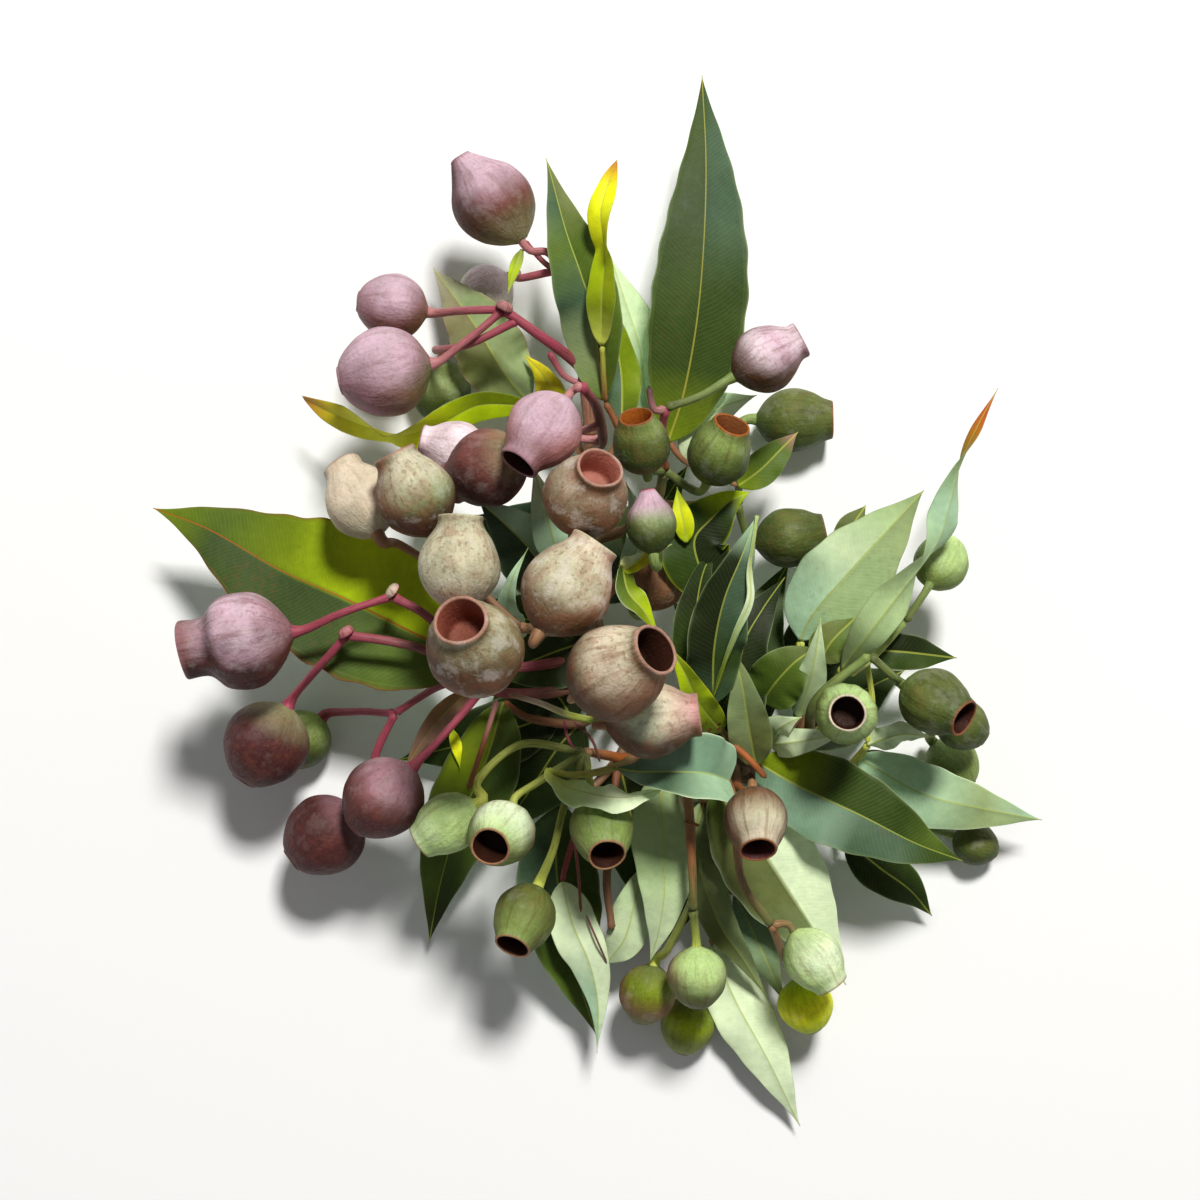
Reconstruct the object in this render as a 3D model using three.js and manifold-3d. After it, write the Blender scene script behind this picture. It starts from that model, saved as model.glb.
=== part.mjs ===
// A picked branch of a red-flowering bloodwood gum, laid down on a surface: a woody main stem,
// leafy twigs and branched stalks of urn-shaped gumnuts.
// Millimetres, +Z up. The origin is on the surface, under the middle of the branch.

import * as THREE from "three";
import { mergeVertices } from "three/addons/utils/BufferGeometryUtils.js";
import Module from "manifold-3d";

const wasm = await Module();
wasm.setup();

// Driving dimensions.
// Places are written as they are seen from straight above: x to the right and y down on a plan grid
// of 1200 units a side, and then the height above the surface in millimetres. What stands higher is
// nearer to the eye, so it is drawn in towards the middle of the plan.
const EYE_HEIGHT = 800;
const GRID_UNIT = 0.36;
const PLAN_MIDDLE = 600;
const MIDDLE_X = 0.4;
const MIDDLE_Y = -3.7;

const BLADE_THICKNESS = 0.8;
const BLADE_STEP = 18;
const FINEST_EDGE = 0.7;
const STALK_RADIUS = 1.35;
const STEM_SIDES = 7;
const LIMB_SIDES = 4;
const LIMB_STEP = 22;
const NUT_SIDES = 7;
const SMALLEST_FEATURE = 0.2;
const JOINT_GAP = 0.3;

// Leaf outline: the power by which it widens from the base, and by which it narrows to the tip.
const LEAF_POWERS = [0.7, 1.3];

// Nut outlines, from the stalk (0) to the rim (1) along the axis, radius as a share of the width.
const NUT_SHAPES = {
  urn: {
    length: 1.18,
    outside: [[0, 0.08], [0.2, 0.38], [0.45, 0.5], [0.72, 0.43], [0.9, 0.27], [1, 0.28]],
    inside: [[1, 0.21], [0.6, 0.2]],
  },
  barrel: {
    length: 1.18,
    outside: [[0, 0.08], [0.2, 0.38], [0.45, 0.5], [0.74, 0.44], [1, 0.3]],
    inside: [[1, 0.245], [0.6, 0.21]],
  },
  beaked: {
    length: 1.3,
    outside: [[0, 0.08], [0.2, 0.38], [0.45, 0.5], [0.65, 0.45], [0.82, 0.3], [1, 0.14]],
    inside: [[1, 0.1]],
  },
  blunt: {
    length: 1.04,
    outside: [[0, 0.08], [0.2, 0.38], [0.47, 0.5], [0.68, 0.46], [0.86, 0.34], [1, 0.18]],
    inside: [[1, 0.13]],
  },
  collared: {
    length: 1.18,
    outside: [[0, 0.08], [0.2, 0.38], [0.45, 0.5], [0.65, 0.46], [0.8, 0.31], [1, 0.31]],
    inside: [[1, 0.25], [0.6, 0.2]],
  },
};
const WIDEST_AT = 0.45;

const COLOURS = {
  bark: { color: 0x7d6146, roughness: 0.85 },
  leaf: { color: 0x4f6b33, roughness: 0.5 },
  pale_leaf: { color: 0x8fa37c, roughness: 0.6 },
  purple_nut: { color: 0x7c5560, roughness: 0.6 },
  khaki_nut: { color: 0x8d7d5b, roughness: 0.7 },
  green_nut: { color: 0x76904f, roughness: 0.65 },
};

// The woody axis that everything grows from. It lies on the surface at its cut end and rises
// towards the top of the branch.
const MAIN_STEM = {
  path: [
    [905, 835, 4], [830, 800, 4], [760, 775, 4.5], [690, 748, 6], [640, 722, 9], [606, 680, 13],
    [594, 620, 17], [591, 550, 22], [592, 480, 30], [590, 430, 40],
  ],
  radii: [5, 5, 4.8, 4.5, 4.2, 3.8, 3.4, 3, 2.6, 2.2],
};

// A leaf: its midrib from the base to the tip, its width in millimetres, how far it is rolled
// about the midrib (0 shows the upper side, 180 the underside), the fold along the midrib in
// degrees, the height and count of the waves in its edges, and the two powers of its outline.
function leaf(rib, width, roll = [0], fold = 8, wave = 1, waves = 2, powers = LEAF_POWERS) {
  return { rib, width, roll, fold, wave, waves, powers };
}

// A nut: the middle of its body, its width in millimetres, the direction that its mouth points in,
// as degrees counter-clockwise from the right of the plan and degrees up towards the eye, its kind
// of outline, and the points that its stalk passes, from the branching to the nut.
function nut(middle, width, azimuth, lift, kind, stalk) {
  return { middle, width, azimuth, lift, kind, stalk };
}

const TWIGS = {
  twig_top: {
    limbs: [
      { path: [[592, 495, 28.5], [608, 460, 38], [622, 435, 42]], radii: [1.9, 1.4] },
      { path: [[608, 460, 38], [640, 452, 40], [669, 442, 42]], radii: [1.6, 1.2] },
      { path: [[622, 435, 42], [605, 402, 44]], radii: [1.3, 1.1] },
      { path: [[605, 402, 44], [602, 345, 55]], radii: [1.1, 0.9] },
      { path: [[669, 442, 42], [680, 458, 41], [692, 466, 40]], radii: [1.1, 0.9] },
      { path: [[692, 466, 40], [716, 474, 38], [738, 486, 36]], radii: [0.95, 0.8] },
    ],
    leaves: [
      leaf([[668, 442, 42], [684, 392, 46], [697, 320, 50], [704, 240, 50], [706, 160, 45], [702, 75,
        36]], 33, [0], 8, 0.8),
      leaf([[603, 400, 44], [593, 315, 50], [581, 274, 53], [565, 228, 50], [546, 158, 43]], 23, [25, 15,
        -10, -25], 20, 1.2),
      leaf([[602, 345, 55], [602, 300, 61], [606, 255, 64], [601, 215, 65], [608, 185, 62], [617, 160,
        57]], 13, [20, 30, 75, 20, 10], 12, 0.6, 2, [0.6, 0.9]),
      leaf([[648, 420, 34], [640, 350, 28], [625, 300, 26], [611, 257, 22]], 20, [180, 190], 6, 1.2, 3),
      leaf([[622, 430, 42], [622, 380, 38], [616, 340, 37], [607, 290, 36]], 14, [10]),
      leaf([[668, 446, 40], [662, 415, 40], [653, 386, 38]], 9, [180], 6, 0.6),
      leaf([[692, 466, 40], [698, 440, 42], [718, 410, 44], [757, 395, 42]], 15, [180]),
      leaf([[738, 486, 36], [760, 470, 38], [780, 450, 37], [798, 432, 32]], 12, [0], 8, 0.8),
    ],
    colour: "leaf",
  },
  twig_upper_left: {
    limbs: [
      { path: [[591.5, 470, 32], [562, 422, 27], [530, 405, 24]], radii: [1.7, 1.1] },
    ],
    leaves: [
      leaf([[530, 404, 24], [506, 375, 28], [475, 325, 30], [433, 268, 16]], 25, [170, 190], 6, 2.4, 4),
      leaf([[530, 406, 25], [480, 405, 33], [440, 424, 37], [400, 435, 37], [365, 426, 35], [330, 412,
        31], [302, 396, 27]], 16, [15, 35, 45, 80, 35, 60], 12, 1, 2, [0.6, 0.7]),
      leaf([[562, 420, 27], [546, 380, 32], [524, 354, 30]], 10, [20], 8, 0.8),
    ],
    colour: "leaf",
  },
  twig_left: {
    limbs: [
      { path: [[599, 650, 15], [550, 664, 26], [500, 668, 40], [472, 658, 45]], radii: [2.2, 1.5] },
    ],
    leaves: [
      leaf([[474, 660, 45], [420, 636, 46], [350, 601, 44], [280, 570, 40], [210, 530, 37], [153, 508,
        32]], 51, [2, 0, -6], 7, 1.2),
    ],
    colour: "leaf",
  },
  twig_middle: {
    limbs: [
      { path: [[593, 608, 18], [602, 602, 40], [614, 588, 60], [622, 573, 73]], radii: [1.8, 1] },
      { path: [[596, 607, 25], [578, 606, 36], [562, 600, 42]], radii: [1.4, 1] },
      { path: [[562, 600, 42], [562, 572, 54]], radii: [1, 0.9] },
    ],
    leaves: [
      leaf([[562, 600, 42], [532, 552, 50], [504, 523, 50], [478, 500, 46]], 25, [10], 8, 1.4),
      leaf([[562, 572, 54], [546, 512, 64], [533, 465, 62]], 13, [180], 8, 0.8),
      leaf([[622, 573, 73], [638, 545, 71], [637, 515, 66], [626, 482, 64]], 9, [170], 8, 0.8),
      leaf([[622, 566, 74], [628, 592, 78], [643, 610, 78], [658, 634, 75]], 9, [40, 20], 10, 0.8),
      leaf([[622, 573, 73], [632, 563, 76], [641, 557, 76], [649, 553, 75]], 7, [150, 130], 10, 0.8, 3),
      leaf([[600, 603, 32], [625, 562, 20], [655, 515, 13], [688, 465, 9]], 26, [0], 8, 1.4),
      leaf([[590, 609, 20], [562, 620, 10], [520, 618, 6], [470, 600, 4]], 24, [0], 6, 0.8),
    ],
    colour: "leaf",
  },
  twig_right_of_middle: {
    limbs: [
      { path: [[762, 776, 4.5], [752, 764, 22], [742, 745, 38]], radii: [2.4, 1.4] },
      { path: [[742, 745, 38], [722, 732, 46], [713, 704, 55]], radii: [1.3, 0.8] },
      { path: [[752, 764, 22], [770, 745, 32], [798, 718, 39], [820, 662, 43]], radii: [1.6, 1] },
      { path: [[722, 732, 46], [713, 680, 50], [710, 630, 53], [712, 592, 54]], radii: [1, 0.8] },
      { path: [[770, 745, 32], [766, 722, 38], [762, 702, 40]], radii: [1, 0.8] },
    ],
    leaves: [
      leaf([[712, 592, 54], [698, 562, 58], [695, 538, 59], [711, 519, 60], [729, 502, 60], [750, 492,
        58]], 23, [0], 10, 1.4, 3, [0.5, 1.1]),
      leaf([[718, 715, 48], [702, 670, 52], [696, 620, 56], [704, 570, 58], [722, 545, 58]], 18, [0], 10),
      leaf([[713, 704, 56], [714, 650, 66], [724, 600, 73], [742, 555, 74], [757, 515, 68]], 20, [-10],
        12, 1.8, 3),
      leaf([[742, 745, 36], [738, 690, 42], [744, 644, 44], [762, 610, 42], [785, 577, 34]], 20),
      leaf([[756, 766, 38], [748, 722, 52], [742, 684, 60], [733, 647, 62]], 15),
      leaf([[762, 702, 40], [776, 682, 48], [795, 662, 52], [815, 648, 50]], 20, [0], 10, 1.4, 2, [0.7, 1.1]),
      leaf([[798, 718, 40], [813, 670, 55], [821, 618, 59]], 11, [170, 200], 8, 1.2),
      leaf([[820, 662, 43], [832, 641, 46], [856, 617, 44]], 14, [0], 8, 0.8),
      leaf([[722, 732, 46], [700, 705, 62], [684, 672, 74], [664, 640, 75]], 11, [0], 8, 1, 3),
      leaf([[770, 745, 32], [786, 743, 47], [815, 739, 53], [850, 730, 53]], 11, [170], 8, 0.8, 3),
      leaf([[770, 745, 32], [778, 730, 46], [790, 722, 52], [802, 717, 54]], 13, [180], 8, 0.8),
      leaf([[742, 745, 34], [725, 690, 24], [700, 640, 18], [672, 600, 14]], 26),
      leaf([[742, 745, 34], [745, 690, 22], [760, 620, 16], [790, 560, 10]], 26),
    ],
    colour: "leaf",
  },
  twig_upper_right: {
    limbs: [
      { path: [[790, 787, 4.3], [800, 745, 14], [806, 700, 24], [800, 640, 33]], radii: [2.4, 1.3] },
      { path: [[806, 700, 24], [830, 690, 34], [842, 668, 47]], radii: [1.5, 1.1] },
      { path: [[800, 640, 33], [830, 600, 30], [848, 562, 30]], radii: [1.1, 0.9] },
    ],
    leaves: [
      leaf([[800, 640, 33], [814, 613, 39], [846, 576, 46], [882, 536, 48], [924, 490, 40]], 30, [180], 8,
        1.2),
      leaf([[842, 668, 47], [870, 632, 62], [900, 592, 64], [935, 545, 62], [947, 512, 60], [958, 470,
        58], [976, 430, 54], [998, 388, 48]], 15, [175, 170, 150, 95, 150, 100, 30, 20], 10),
      leaf([[848, 562, 30], [851, 530, 32], [866, 505, 28]], 12, [0], 8, 0.8),
      leaf([[800, 745, 14], [830, 715, 12], [865, 690, 10], [905, 670, 7]], 26, [0], 6),
      leaf([[806, 700, 22], [815, 650, 16], [835, 600, 12], [850, 550, 8]], 24, [0], 6),
    ],
    colour: "pale_leaf",
  },
  twig_right: {
    limbs: [
      { path: [[835, 803, 4], [850, 770, 16], [868, 744, 32]], radii: [2.2, 1.2] },
      { path: [[868, 744, 32], [872, 700, 32], [866, 650, 34]], radii: [1.2, 0.9] },
    ],
    leaves: [
      leaf([[858, 757, 22], [920, 793, 27], [980, 808, 26], [1042, 820, 19]], 22, [180], 8, 1.2),
      leaf([[866, 650, 34], [905, 652, 36], [957, 658, 30]], 13, [0], 8, 0.8),
      leaf([[868, 744, 32], [902, 734, 39], [934, 737, 40]], 10, [160, 130], 10, 1.4),
      leaf([[850, 770, 16], [872, 774, 11], [895, 780, 7], [918, 790, 5]], 18, [0], 6, 0.6),
    ],
    colour: "leaf",
  },
  twig_lower_right: {
    limbs: [
      { path: [[776, 781, 4.4], [770, 772, 20], [759, 763, 33]], radii: [2, 1.2] },
    ],
    leaves: [
      leaf([[757, 762, 34], [800, 787, 42], [860, 815, 46], [915, 843, 45], [963, 861, 36]], 30, [0, 5],
        9, 1.5, 3),
    ],
    colour: "leaf",
  },
  twig_far_right: {
    limbs: [
      { path: [[850, 811, 4], [842, 828, 8], [846, 840, 12]], radii: [1.6, 1] },
    ],
    leaves: [
      leaf([[846, 840, 12], [880, 868, 15], [910, 890, 13], [932, 916, 7]], 17, [0], 8, 0.8),
    ],
    colour: "leaf",
  },
  twig_bottom_right: {
    limbs: [
      { path: [[696, 751, 6], [704, 800, 14], [712, 870, 15], [712, 945, 13]], radii: [2.2, 1.1] },
      { path: [[704, 800, 14], [708, 796, 24], [712, 790, 33]], radii: [1.4, 1] },
      { path: [[712, 870, 15], [735, 895, 21]], radii: [1.1, 0.9] },
    ],
    leaves: [
      leaf([[712, 790, 33], [748, 830, 39], [785, 885, 36], [820, 940, 27], [846, 985, 18]], 34, [180], 7,
        1, 3),
      leaf([[704, 800, 14], [696, 850, 26], [718, 920, 29], [744, 960, 26], [768, 998, 20]], 15, [180, 170]),
      leaf([[735, 895, 21], [757, 940, 19], [785, 1003, 10]], 12, [10]),
      leaf([[712, 945, 13], [735, 1000, 15], [768, 1060, 14], [800, 1126, 7]], 21, [180, 170], 8, 1.2),
      leaf([[704, 800, 14], [690, 845, 13], [680, 895, 12], [670, 945, 8]], 26, [0], 6),
    ],
    colour: "pale_leaf",
  },
  twig_bottom: {
    limbs: [
      { path: [[636, 719, 9.3], [618, 758, 13], [590, 790, 18], [562, 805, 24]], radii: [2.2, 1.1] },
      { path: [[618, 758, 13], [640, 764, 20], [660, 770, 28]], radii: [1.4, 1] },
      { path: [[590, 790, 18], [570, 850, 30], [562, 882, 32]], radii: [1.2, 0.9] },
      { path: [[660, 770, 28], [650, 820, 27], [641, 868, 27]], radii: [1.1, 0.9] },
      { path: [[618, 758, 13], [612, 830, 24], [607, 880, 29], [612, 930, 30]], radii: [1.6, 1.3] },
    ],
    leaves: [
      leaf([[562, 805, 24], [556, 860, 24], [565, 930, 22], [580, 985, 16], [596, 1035, 10]], 29, [0, 10],
        8, 1.4, 3),
      leaf([[562, 882, 32], [573, 925, 34], [590, 965, 32], [598, 1005, 27], [597, 1053, 22]], 17, [175],
        8, 0.8, 2, [0.6, 1.6]),
      leaf([[660, 770, 28], [662, 820, 38], [665, 880, 42], [660, 925, 38], [650, 962, 30]], 22, [180]),
      leaf([[641, 868, 27], [634, 905, 30], [625, 938, 28], [607, 963, 22]], 15, [180], 8, 1, 2, [0.9, 0.8]),
      leaf([[618, 758, 13], [628, 800, 8], [636, 850, 5], [640, 910, 4]], 30, [0], 6, 0.8),
    ],
    colour: "leaf",
  },
  twig_lower_middle: {
    limbs: [
      { path: [[650, 728, 8], [640, 752, 34], [612, 768, 56], [575, 775, 61], [546, 770, 60]], radii: [2,
        1] },
    ],
    leaves: [
      leaf([[546, 770, 60], [565, 786, 66], [585, 793, 70], [612, 798, 73], [637, 797, 72], [661, 790,
        67]], 12, [235, 220, 235], 8, 1.4, 3, [0.6, 0.8]),
      leaf([[612, 768, 56], [640, 772, 67], [678, 772, 75], [708, 774, 73], [730, 781, 60]], 26, [24], 26,
        1.5, 3, [1.5, 0.5]),
    ],
    colour: "pale_leaf",
  },
  twig_lower_left: {
    limbs: [
      { path: [[613, 692, 12], [583, 722, 14], [535, 720, 20], [503, 702, 25]], radii: [2, 1.2] },
    ],
    leaves: [
      leaf([[503, 702, 25], [486, 760, 28], [456, 830, 24], [440, 885, 18], [429, 943, 10]], 27, [10, 0,
        -5], 8, 1.2),
      leaf([[583, 722, 14], [560, 745, 11], [530, 790, 8], [500, 835, 5]], 30, [0], 6, 0.8),
      leaf([[575, 722, 15], [550, 690, 13], [515, 702, 10], [480, 732, 7]], 22, [0], 6, 0.8),
    ],
    colour: "leaf",
  },
};

const BUNCHES = {
  nuts_top_left: {
    colour: "purple_nut",
    limbs: [
      { path: [[590, 436, 39], [588, 410, 42], [584, 385, 43], [577, 365, 44], [540, 335, 53], [503, 310,
        56]], radii: [2.1, 1.6] },
      { path: [[577, 365, 44], [576, 318, 41], [560, 270, 41]], radii: [1.5, 1.2] },
    ],
    nuts: [
      nut([494, 203, 45], 27.2, 127, 0, "beaked", [[560, 270, 42], [548, 253, 44]]),
      nut([396, 307, 42], 23.3, 172, 5, "blunt", [[503, 310, 56], [470, 310, 52]]),
      nut([389, 371, 55], 30.2, 192, 5, "blunt", [[503, 310, 56], [470, 338, 56]]),
      nut([488, 291, 12], 20, 210, -10, "blunt", [[560, 270, 42], [520, 278, 36]]),
      nut([440, 387, 10.6], 21.3, 265, -5, "blunt", [[518, 320, 55], [470, 344, 52], [436, 350, 34]]),
    ],
  },
  nuts_upper_left: {
    colour: "purple_nut",
    limbs: [
      { path: [[591, 452, 36], [602, 440, 52], [598, 410, 72], [582, 386, 93]], radii: [1.9, 1.5] },
    ],
    nuts: [
      nut([545, 428, 95], 23.8, 235, 20, "urn", [[582, 386, 93]]),
      nut([490, 467, 74], 25.3, 200, -30, "urn", [[600, 425, 62], [552, 440, 70]]),
      nut([458, 450, 50], 20, 165, 0, "urn", [[602, 440, 52], [540, 438, 48], [505, 446, 48]]),
    ],
  },
  nuts_left: {
    colour: "purple_nut",
    limbs: [
      { path: [[604, 672, 13.5], [560, 690, 24], [510, 694, 38], [476, 686, 48]], radii: [2.2, 1.7] },
      { path: [[476, 686, 48], [452, 640, 58], [425, 615, 63], [392, 596, 65]], radii: [1.6, 1.5] },
      { path: [[470, 680, 50], [420, 648, 58], [347, 635, 60]], radii: [1.6, 1.5] },
      { path: [[476, 686, 48], [440, 686, 42], [395, 713, 36]], radii: [1.5, 1.3] },
    ],
    nuts: [
      nut([243, 640, 63], 31.5, 190, 0, "collared", [[392, 596, 65], [340, 614, 66]]),
      nut([268, 740, 36], 29, 239, -5, "blunt", [[347, 635, 60], [318, 668, 52]]),
      nut([303, 738, 10.6], 21.3, 225, -5, "blunt", [[395, 713, 36], [350, 712, 22]]),
      nut([386, 795, 50], 27.7, 226, 0, "blunt", [[482, 690, 46], [450, 728, 48]]),
      nut([328, 833, 30], 27.7, 217, 0, "blunt", [[395, 713, 36], [374, 760, 32]]),
    ],
  },
  nuts_middle_left: {
    colour: "khaki_nut",
    limbs: [
      { path: [[595, 630, 16.5], [560, 630, 45], [520, 628, 72]], radii: [2, 1.6] },
    ],
    nuts: [
      nut([475, 650, 125], 29.8, 111, 59, "urn", [[520, 628, 72], [492, 672, 88]]),
      nut([459, 568, 95], 26, 88, 0, "urn", [[520, 628, 72], [476, 628, 84]]),
      nut([417, 498, 86], 25.1, 117, 6, "urn", [[520, 628, 72], [470, 580, 70]]),
      nut([362, 503, 64], 24, 120, -20, "urn", [[520, 628, 72], [440, 570, 64], [400, 545, 62]]),
    ],
  },
  nuts_middle: {
    colour: "khaki_nut",
    limbs: [
      { path: [[592, 580, 20], [575, 590, 48], [570, 600, 76]], radii: [2, 1.6] },
    ],
    nuts: [
      nut([565, 592, 111], 27.9, 58, -5, "urn", [[570, 600, 76], [545, 632, 98]]),
      nut([585, 498, 103], 26.3, 61, 54, "urn", [[573, 596, 60], [572, 535, 76]]),
    ],
  },
  nuts_middle_right: {
    colour: "khaki_nut",
    limbs: [
      { path: [[624, 705, 10.5], [612, 706, 40], [592, 700, 74]], radii: [2, 1.6] },
      { path: [[614, 712, 36], [600, 721, 46], [570, 715, 54], [540, 703, 58], [508, 694, 60]], radii:
        [1.4, 0.9] },
    ],
    nuts: [
      nut([614, 674, 120], 30, 32, 40, "urn", [[592, 700, 74], [586, 694, 92]]),
      nut([648, 720, 90], 25.5, 6, 0, "urn", [[592, 700, 74], [606, 722, 84]]),
    ],
  },
  nuts_upper_right: {
    colour: "green_nut",
    limbs: [
      { path: [[591, 540, 23], [625, 530, 36], [655, 505, 50], [664, 470, 62]], radii: [2, 1.6] },
      { path: [[664, 470, 62], [662, 430, 74], [666, 408, 80]], radii: [1.6, 1.4] },
      { path: [[655, 505, 50], [700, 505, 44], [738, 505, 36]], radii: [1.6, 1.2] },
      { path: [[666, 408, 80], [655, 410, 81], [650, 398, 82], [649, 386, 82]], radii: [1.3, 0.9] },
    ],
    nuts: [
      nut([642, 447, 85], 18.3, 102, 36, "barrel", [[664, 470, 62], [648, 472, 70]]),
      nut([651, 525, 87], 16.2, 95, 0, "beaked", [[655, 505, 50], [658, 540, 64], [658, 566, 80]]),
      nut([656, 581, 46], 20, 65, 10, "urn", [[625, 530, 36], [630, 600, 38]]),
      nut([718, 456, 75], 20.2, 67, 35, "barrel", [[664, 470, 62], [694, 490, 60]]),
      nut([764, 360, 72], 21.4, 29, 0, "urn", [[666, 408, 80], [700, 396, 76]]),
      nut([790, 420, 11.3], 23, 0, 0, "barrel", [[738, 505, 36], [742, 430, 14]]),
      nut([786, 538, 28], 21, 10, 0, "barrel", [[738, 505, 36], [745, 535, 28]]),
    ],
  },
  nuts_right: {
    colour: "green_nut",
    limbs: [
      { path: [[806, 793, 4.2], [808, 750, 34], [817, 700, 58], [870, 655, 63]], radii: [2.1, 1.5] },
      { path: [[850, 673, 61], [874, 656, 48], [905, 622, 42]], radii: [1.4, 1.2] },
    ],
    nuts: [
      nut([940, 565, 38], 19.3, 58, -25, "blunt", [[905, 622, 42]]),
      nut([846, 714, 75], 20.2, 135, 84, "barrel", [[817, 700, 58], [836, 706, 57]]),
      nut([931, 700, 60], 21.6, 330, 35, "barrel", [[870, 655, 63], [892, 676, 60]]),
      nut([960, 724, 32], 18, 330, -5, "blunt", [[888, 672, 58], [925, 700, 42]]),
      nut([950, 762, 9.4], 19.5, 310, -5, "blunt", [[870, 655, 63], [905, 690, 44], [930, 730, 22]]),
    ],
  },
  nut_far_right: {
    colour: "green_nut",
    limbs: [
      { path: [[880, 825, 4], [920, 826, 10]], radii: [1.6, 1.4] },
    ],
    nuts: [
      nut([973, 843, 8], 16, 340, 0, "blunt", [[920, 826, 10]]),
    ],
  },
  nuts_lower_middle: {
    colour: "green_nut",
    limbs: [
      { path: [[668, 738, 7.1], [632, 758, 14], [603, 754, 30], [585, 752, 44]], radii: [2, 1.5] },
    ],
    nuts: [
      nut([502, 832, 72], 21.7, 227, 70, "barrel", [[585, 752, 44], [545, 778, 50], [515, 797, 56]]),
      nut([451, 821, 60], 20, 215, -8, "barrel", [[585, 752, 44], [520, 745, 50], [478, 780, 58]]),
      nut([526, 914, 55], 20.8, 246, 38, "barrel", [[585, 752, 44], [566, 800, 50], [553, 850, 52]]),
      nut([601, 827, 62], 21.5, 284, 53, "barrel", [[585, 752, 44], [592, 795, 46]]),
    ],
  },
  nut_lower_right: {
    colour: "green_nut",
    limbs: [
      { path: [[735, 766, 5], [737, 783, 30], [748, 798, 60]], radii: [1.9, 1.4] },
    ],
    nuts: [
      nut([755, 817, 85], 20.3, 272, 42, "barrel", [[748, 798, 60]]),
    ],
  },
  nuts_bottom: {
    colour: "green_nut",
    limbs: [
      { path: [[680, 744, 6.5], [684, 765, 36], [688, 795, 52], [693, 886, 54], [693, 910, 52]], radii:
        [1.9, 1.4] },
    ],
    nuts: [
      nut([697, 974, 45], 20.4, 272, -5, "blunt", [[693, 910, 52]]),
      nut([648, 991, 25], 20.2, 256, -5, "blunt", [[693, 900, 53], [668, 948, 36]]),
      nut([688, 1022, 9.8], 19.9, 258, -5, "blunt", [[693, 910, 52], [697, 965, 27]]),
    ],
  },
  nuts_bottom_right: {
    colour: "green_nut",
    limbs: [
      { path: [[716, 759, 5.5], [722, 772, 34], [733, 802, 53], [742, 880, 54], [772, 925, 50]], radii:
        [1.9, 1.4] },
    ],
    nuts: [
      nut([811, 956, 47], 19.4, 306, 0, "barrel", [[772, 925, 50]]),
      nut([805, 1002, 22], 19.2, 288, -8, "blunt", [[772, 925, 50], [785, 960, 34]]),
    ],
  },
};

// The world place of a point of the plan at a height.
function at([px, py, z]) {
  const scale = (GRID_UNIT * (EYE_HEIGHT - z)) / EYE_HEIGHT;
  return new THREE.Vector3((px - PLAN_MIDDLE) * scale - MIDDLE_X, (PLAN_MIDDLE - py) * scale - MIDDLE_Y, z);
}

function toPlan({ x, y, z }) {
  const scale = (GRID_UNIT * (EYE_HEIGHT - z)) / EYE_HEIGHT;
  return [(x + MIDDLE_X) / scale + PLAN_MIDDLE, PLAN_MIDDLE - (y + MIDDLE_Y) / scale, z];
}

const EYE = new THREE.Vector3(-MIDDLE_X, -MIDDLE_Y, EYE_HEIGHT);

function curveThrough(points) {
  return new THREE.CatmullRomCurve3(points.map(at), false, "catmullrom", 0.5);
}

// The value at share t of a list of values spread evenly.
function along(values, t) {
  const place = t * (values.length - 1);
  const before = Math.min(Math.floor(place), Math.max(values.length - 2, 0));
  const after = Math.min(before + 1, values.length - 1);
  return THREE.MathUtils.lerp(values[before], values[after], place - before);
}

// A closed solid from a three.js geometry.
function solidFrom(geometry) {
  geometry.deleteAttribute("normal");
  geometry.deleteAttribute("uv");
  const merged = mergeVertices(geometry, 1e-4);
  return new wasm.Manifold(new wasm.Mesh({
    numProp: 3,
    vertProperties: new Float32Array(merged.attributes.position.array),
    triVerts: new Uint32Array(merged.index.array),
  }));
}

function geometryOf(points, triangles) {
  const geometry = new THREE.BufferGeometry();
  geometry.setAttribute("position", new THREE.Float32BufferAttribute(points.flatMap((p) => p.toArray()), 3));
  geometry.setIndex(triangles.flat());
  return geometry;
}

// A round solid along a curve: a ring of points at each step, and a flat cap on each end. It runs on
// by its radius past both ends, so that limbs that meet end to end grow into each other.
function limb(path, radii, { grow = 0, sides = LIMB_SIDES } = {}) {
  const curve = curveThrough(path);
  const steps = Math.max(2, Math.round(curve.getLength() / LIMB_STEP));
  const frames = curve.computeFrenetFrames(steps, false);
  const points = [];
  const triangles = [];
  for (let i = 0; i <= steps; i++) {
    const radius = along(radii, i / steps) + grow;
    const runOn = i === 0 ? -radius : i === steps ? radius : 0;
    const middle = curve.getPointAt(i / steps).addScaledVector(curve.getTangentAt(i / steps), runOn);
    for (let k = 0; k < sides; k++) {
      const angle = (2 * Math.PI * k) / sides;
      points.push(middle.clone()
        .addScaledVector(frames.normals[i], radius * Math.cos(angle))
        .addScaledVector(frames.binormals[i], radius * Math.sin(angle)));
    }
  }
  for (let i = 0; i < steps; i++) {
    for (let k = 0; k < sides; k++) {
      const a = i * sides + k;
      const b = i * sides + ((k + 1) % sides);
      triangles.push([a, b, b + sides], [a, b + sides, a + sides]);
    }
  }
  const last = steps * sides;
  for (let k = 1; k < sides - 1; k++) {
    triangles.push([0, k + 1, k], [last, last + k, last + k + 1]);
  }
  return solidFrom(geometryOf(points, triangles));
}

// Half the width of a leaf at share t from its base, where 1 is the widest place.
function outline([fromBase, toTip], t) {
  const shape = (s) => s ** fromBase * (1 - s) ** toTip;
  return shape(t) / shape(fromBase / (fromBase + toTip));
}

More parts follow.
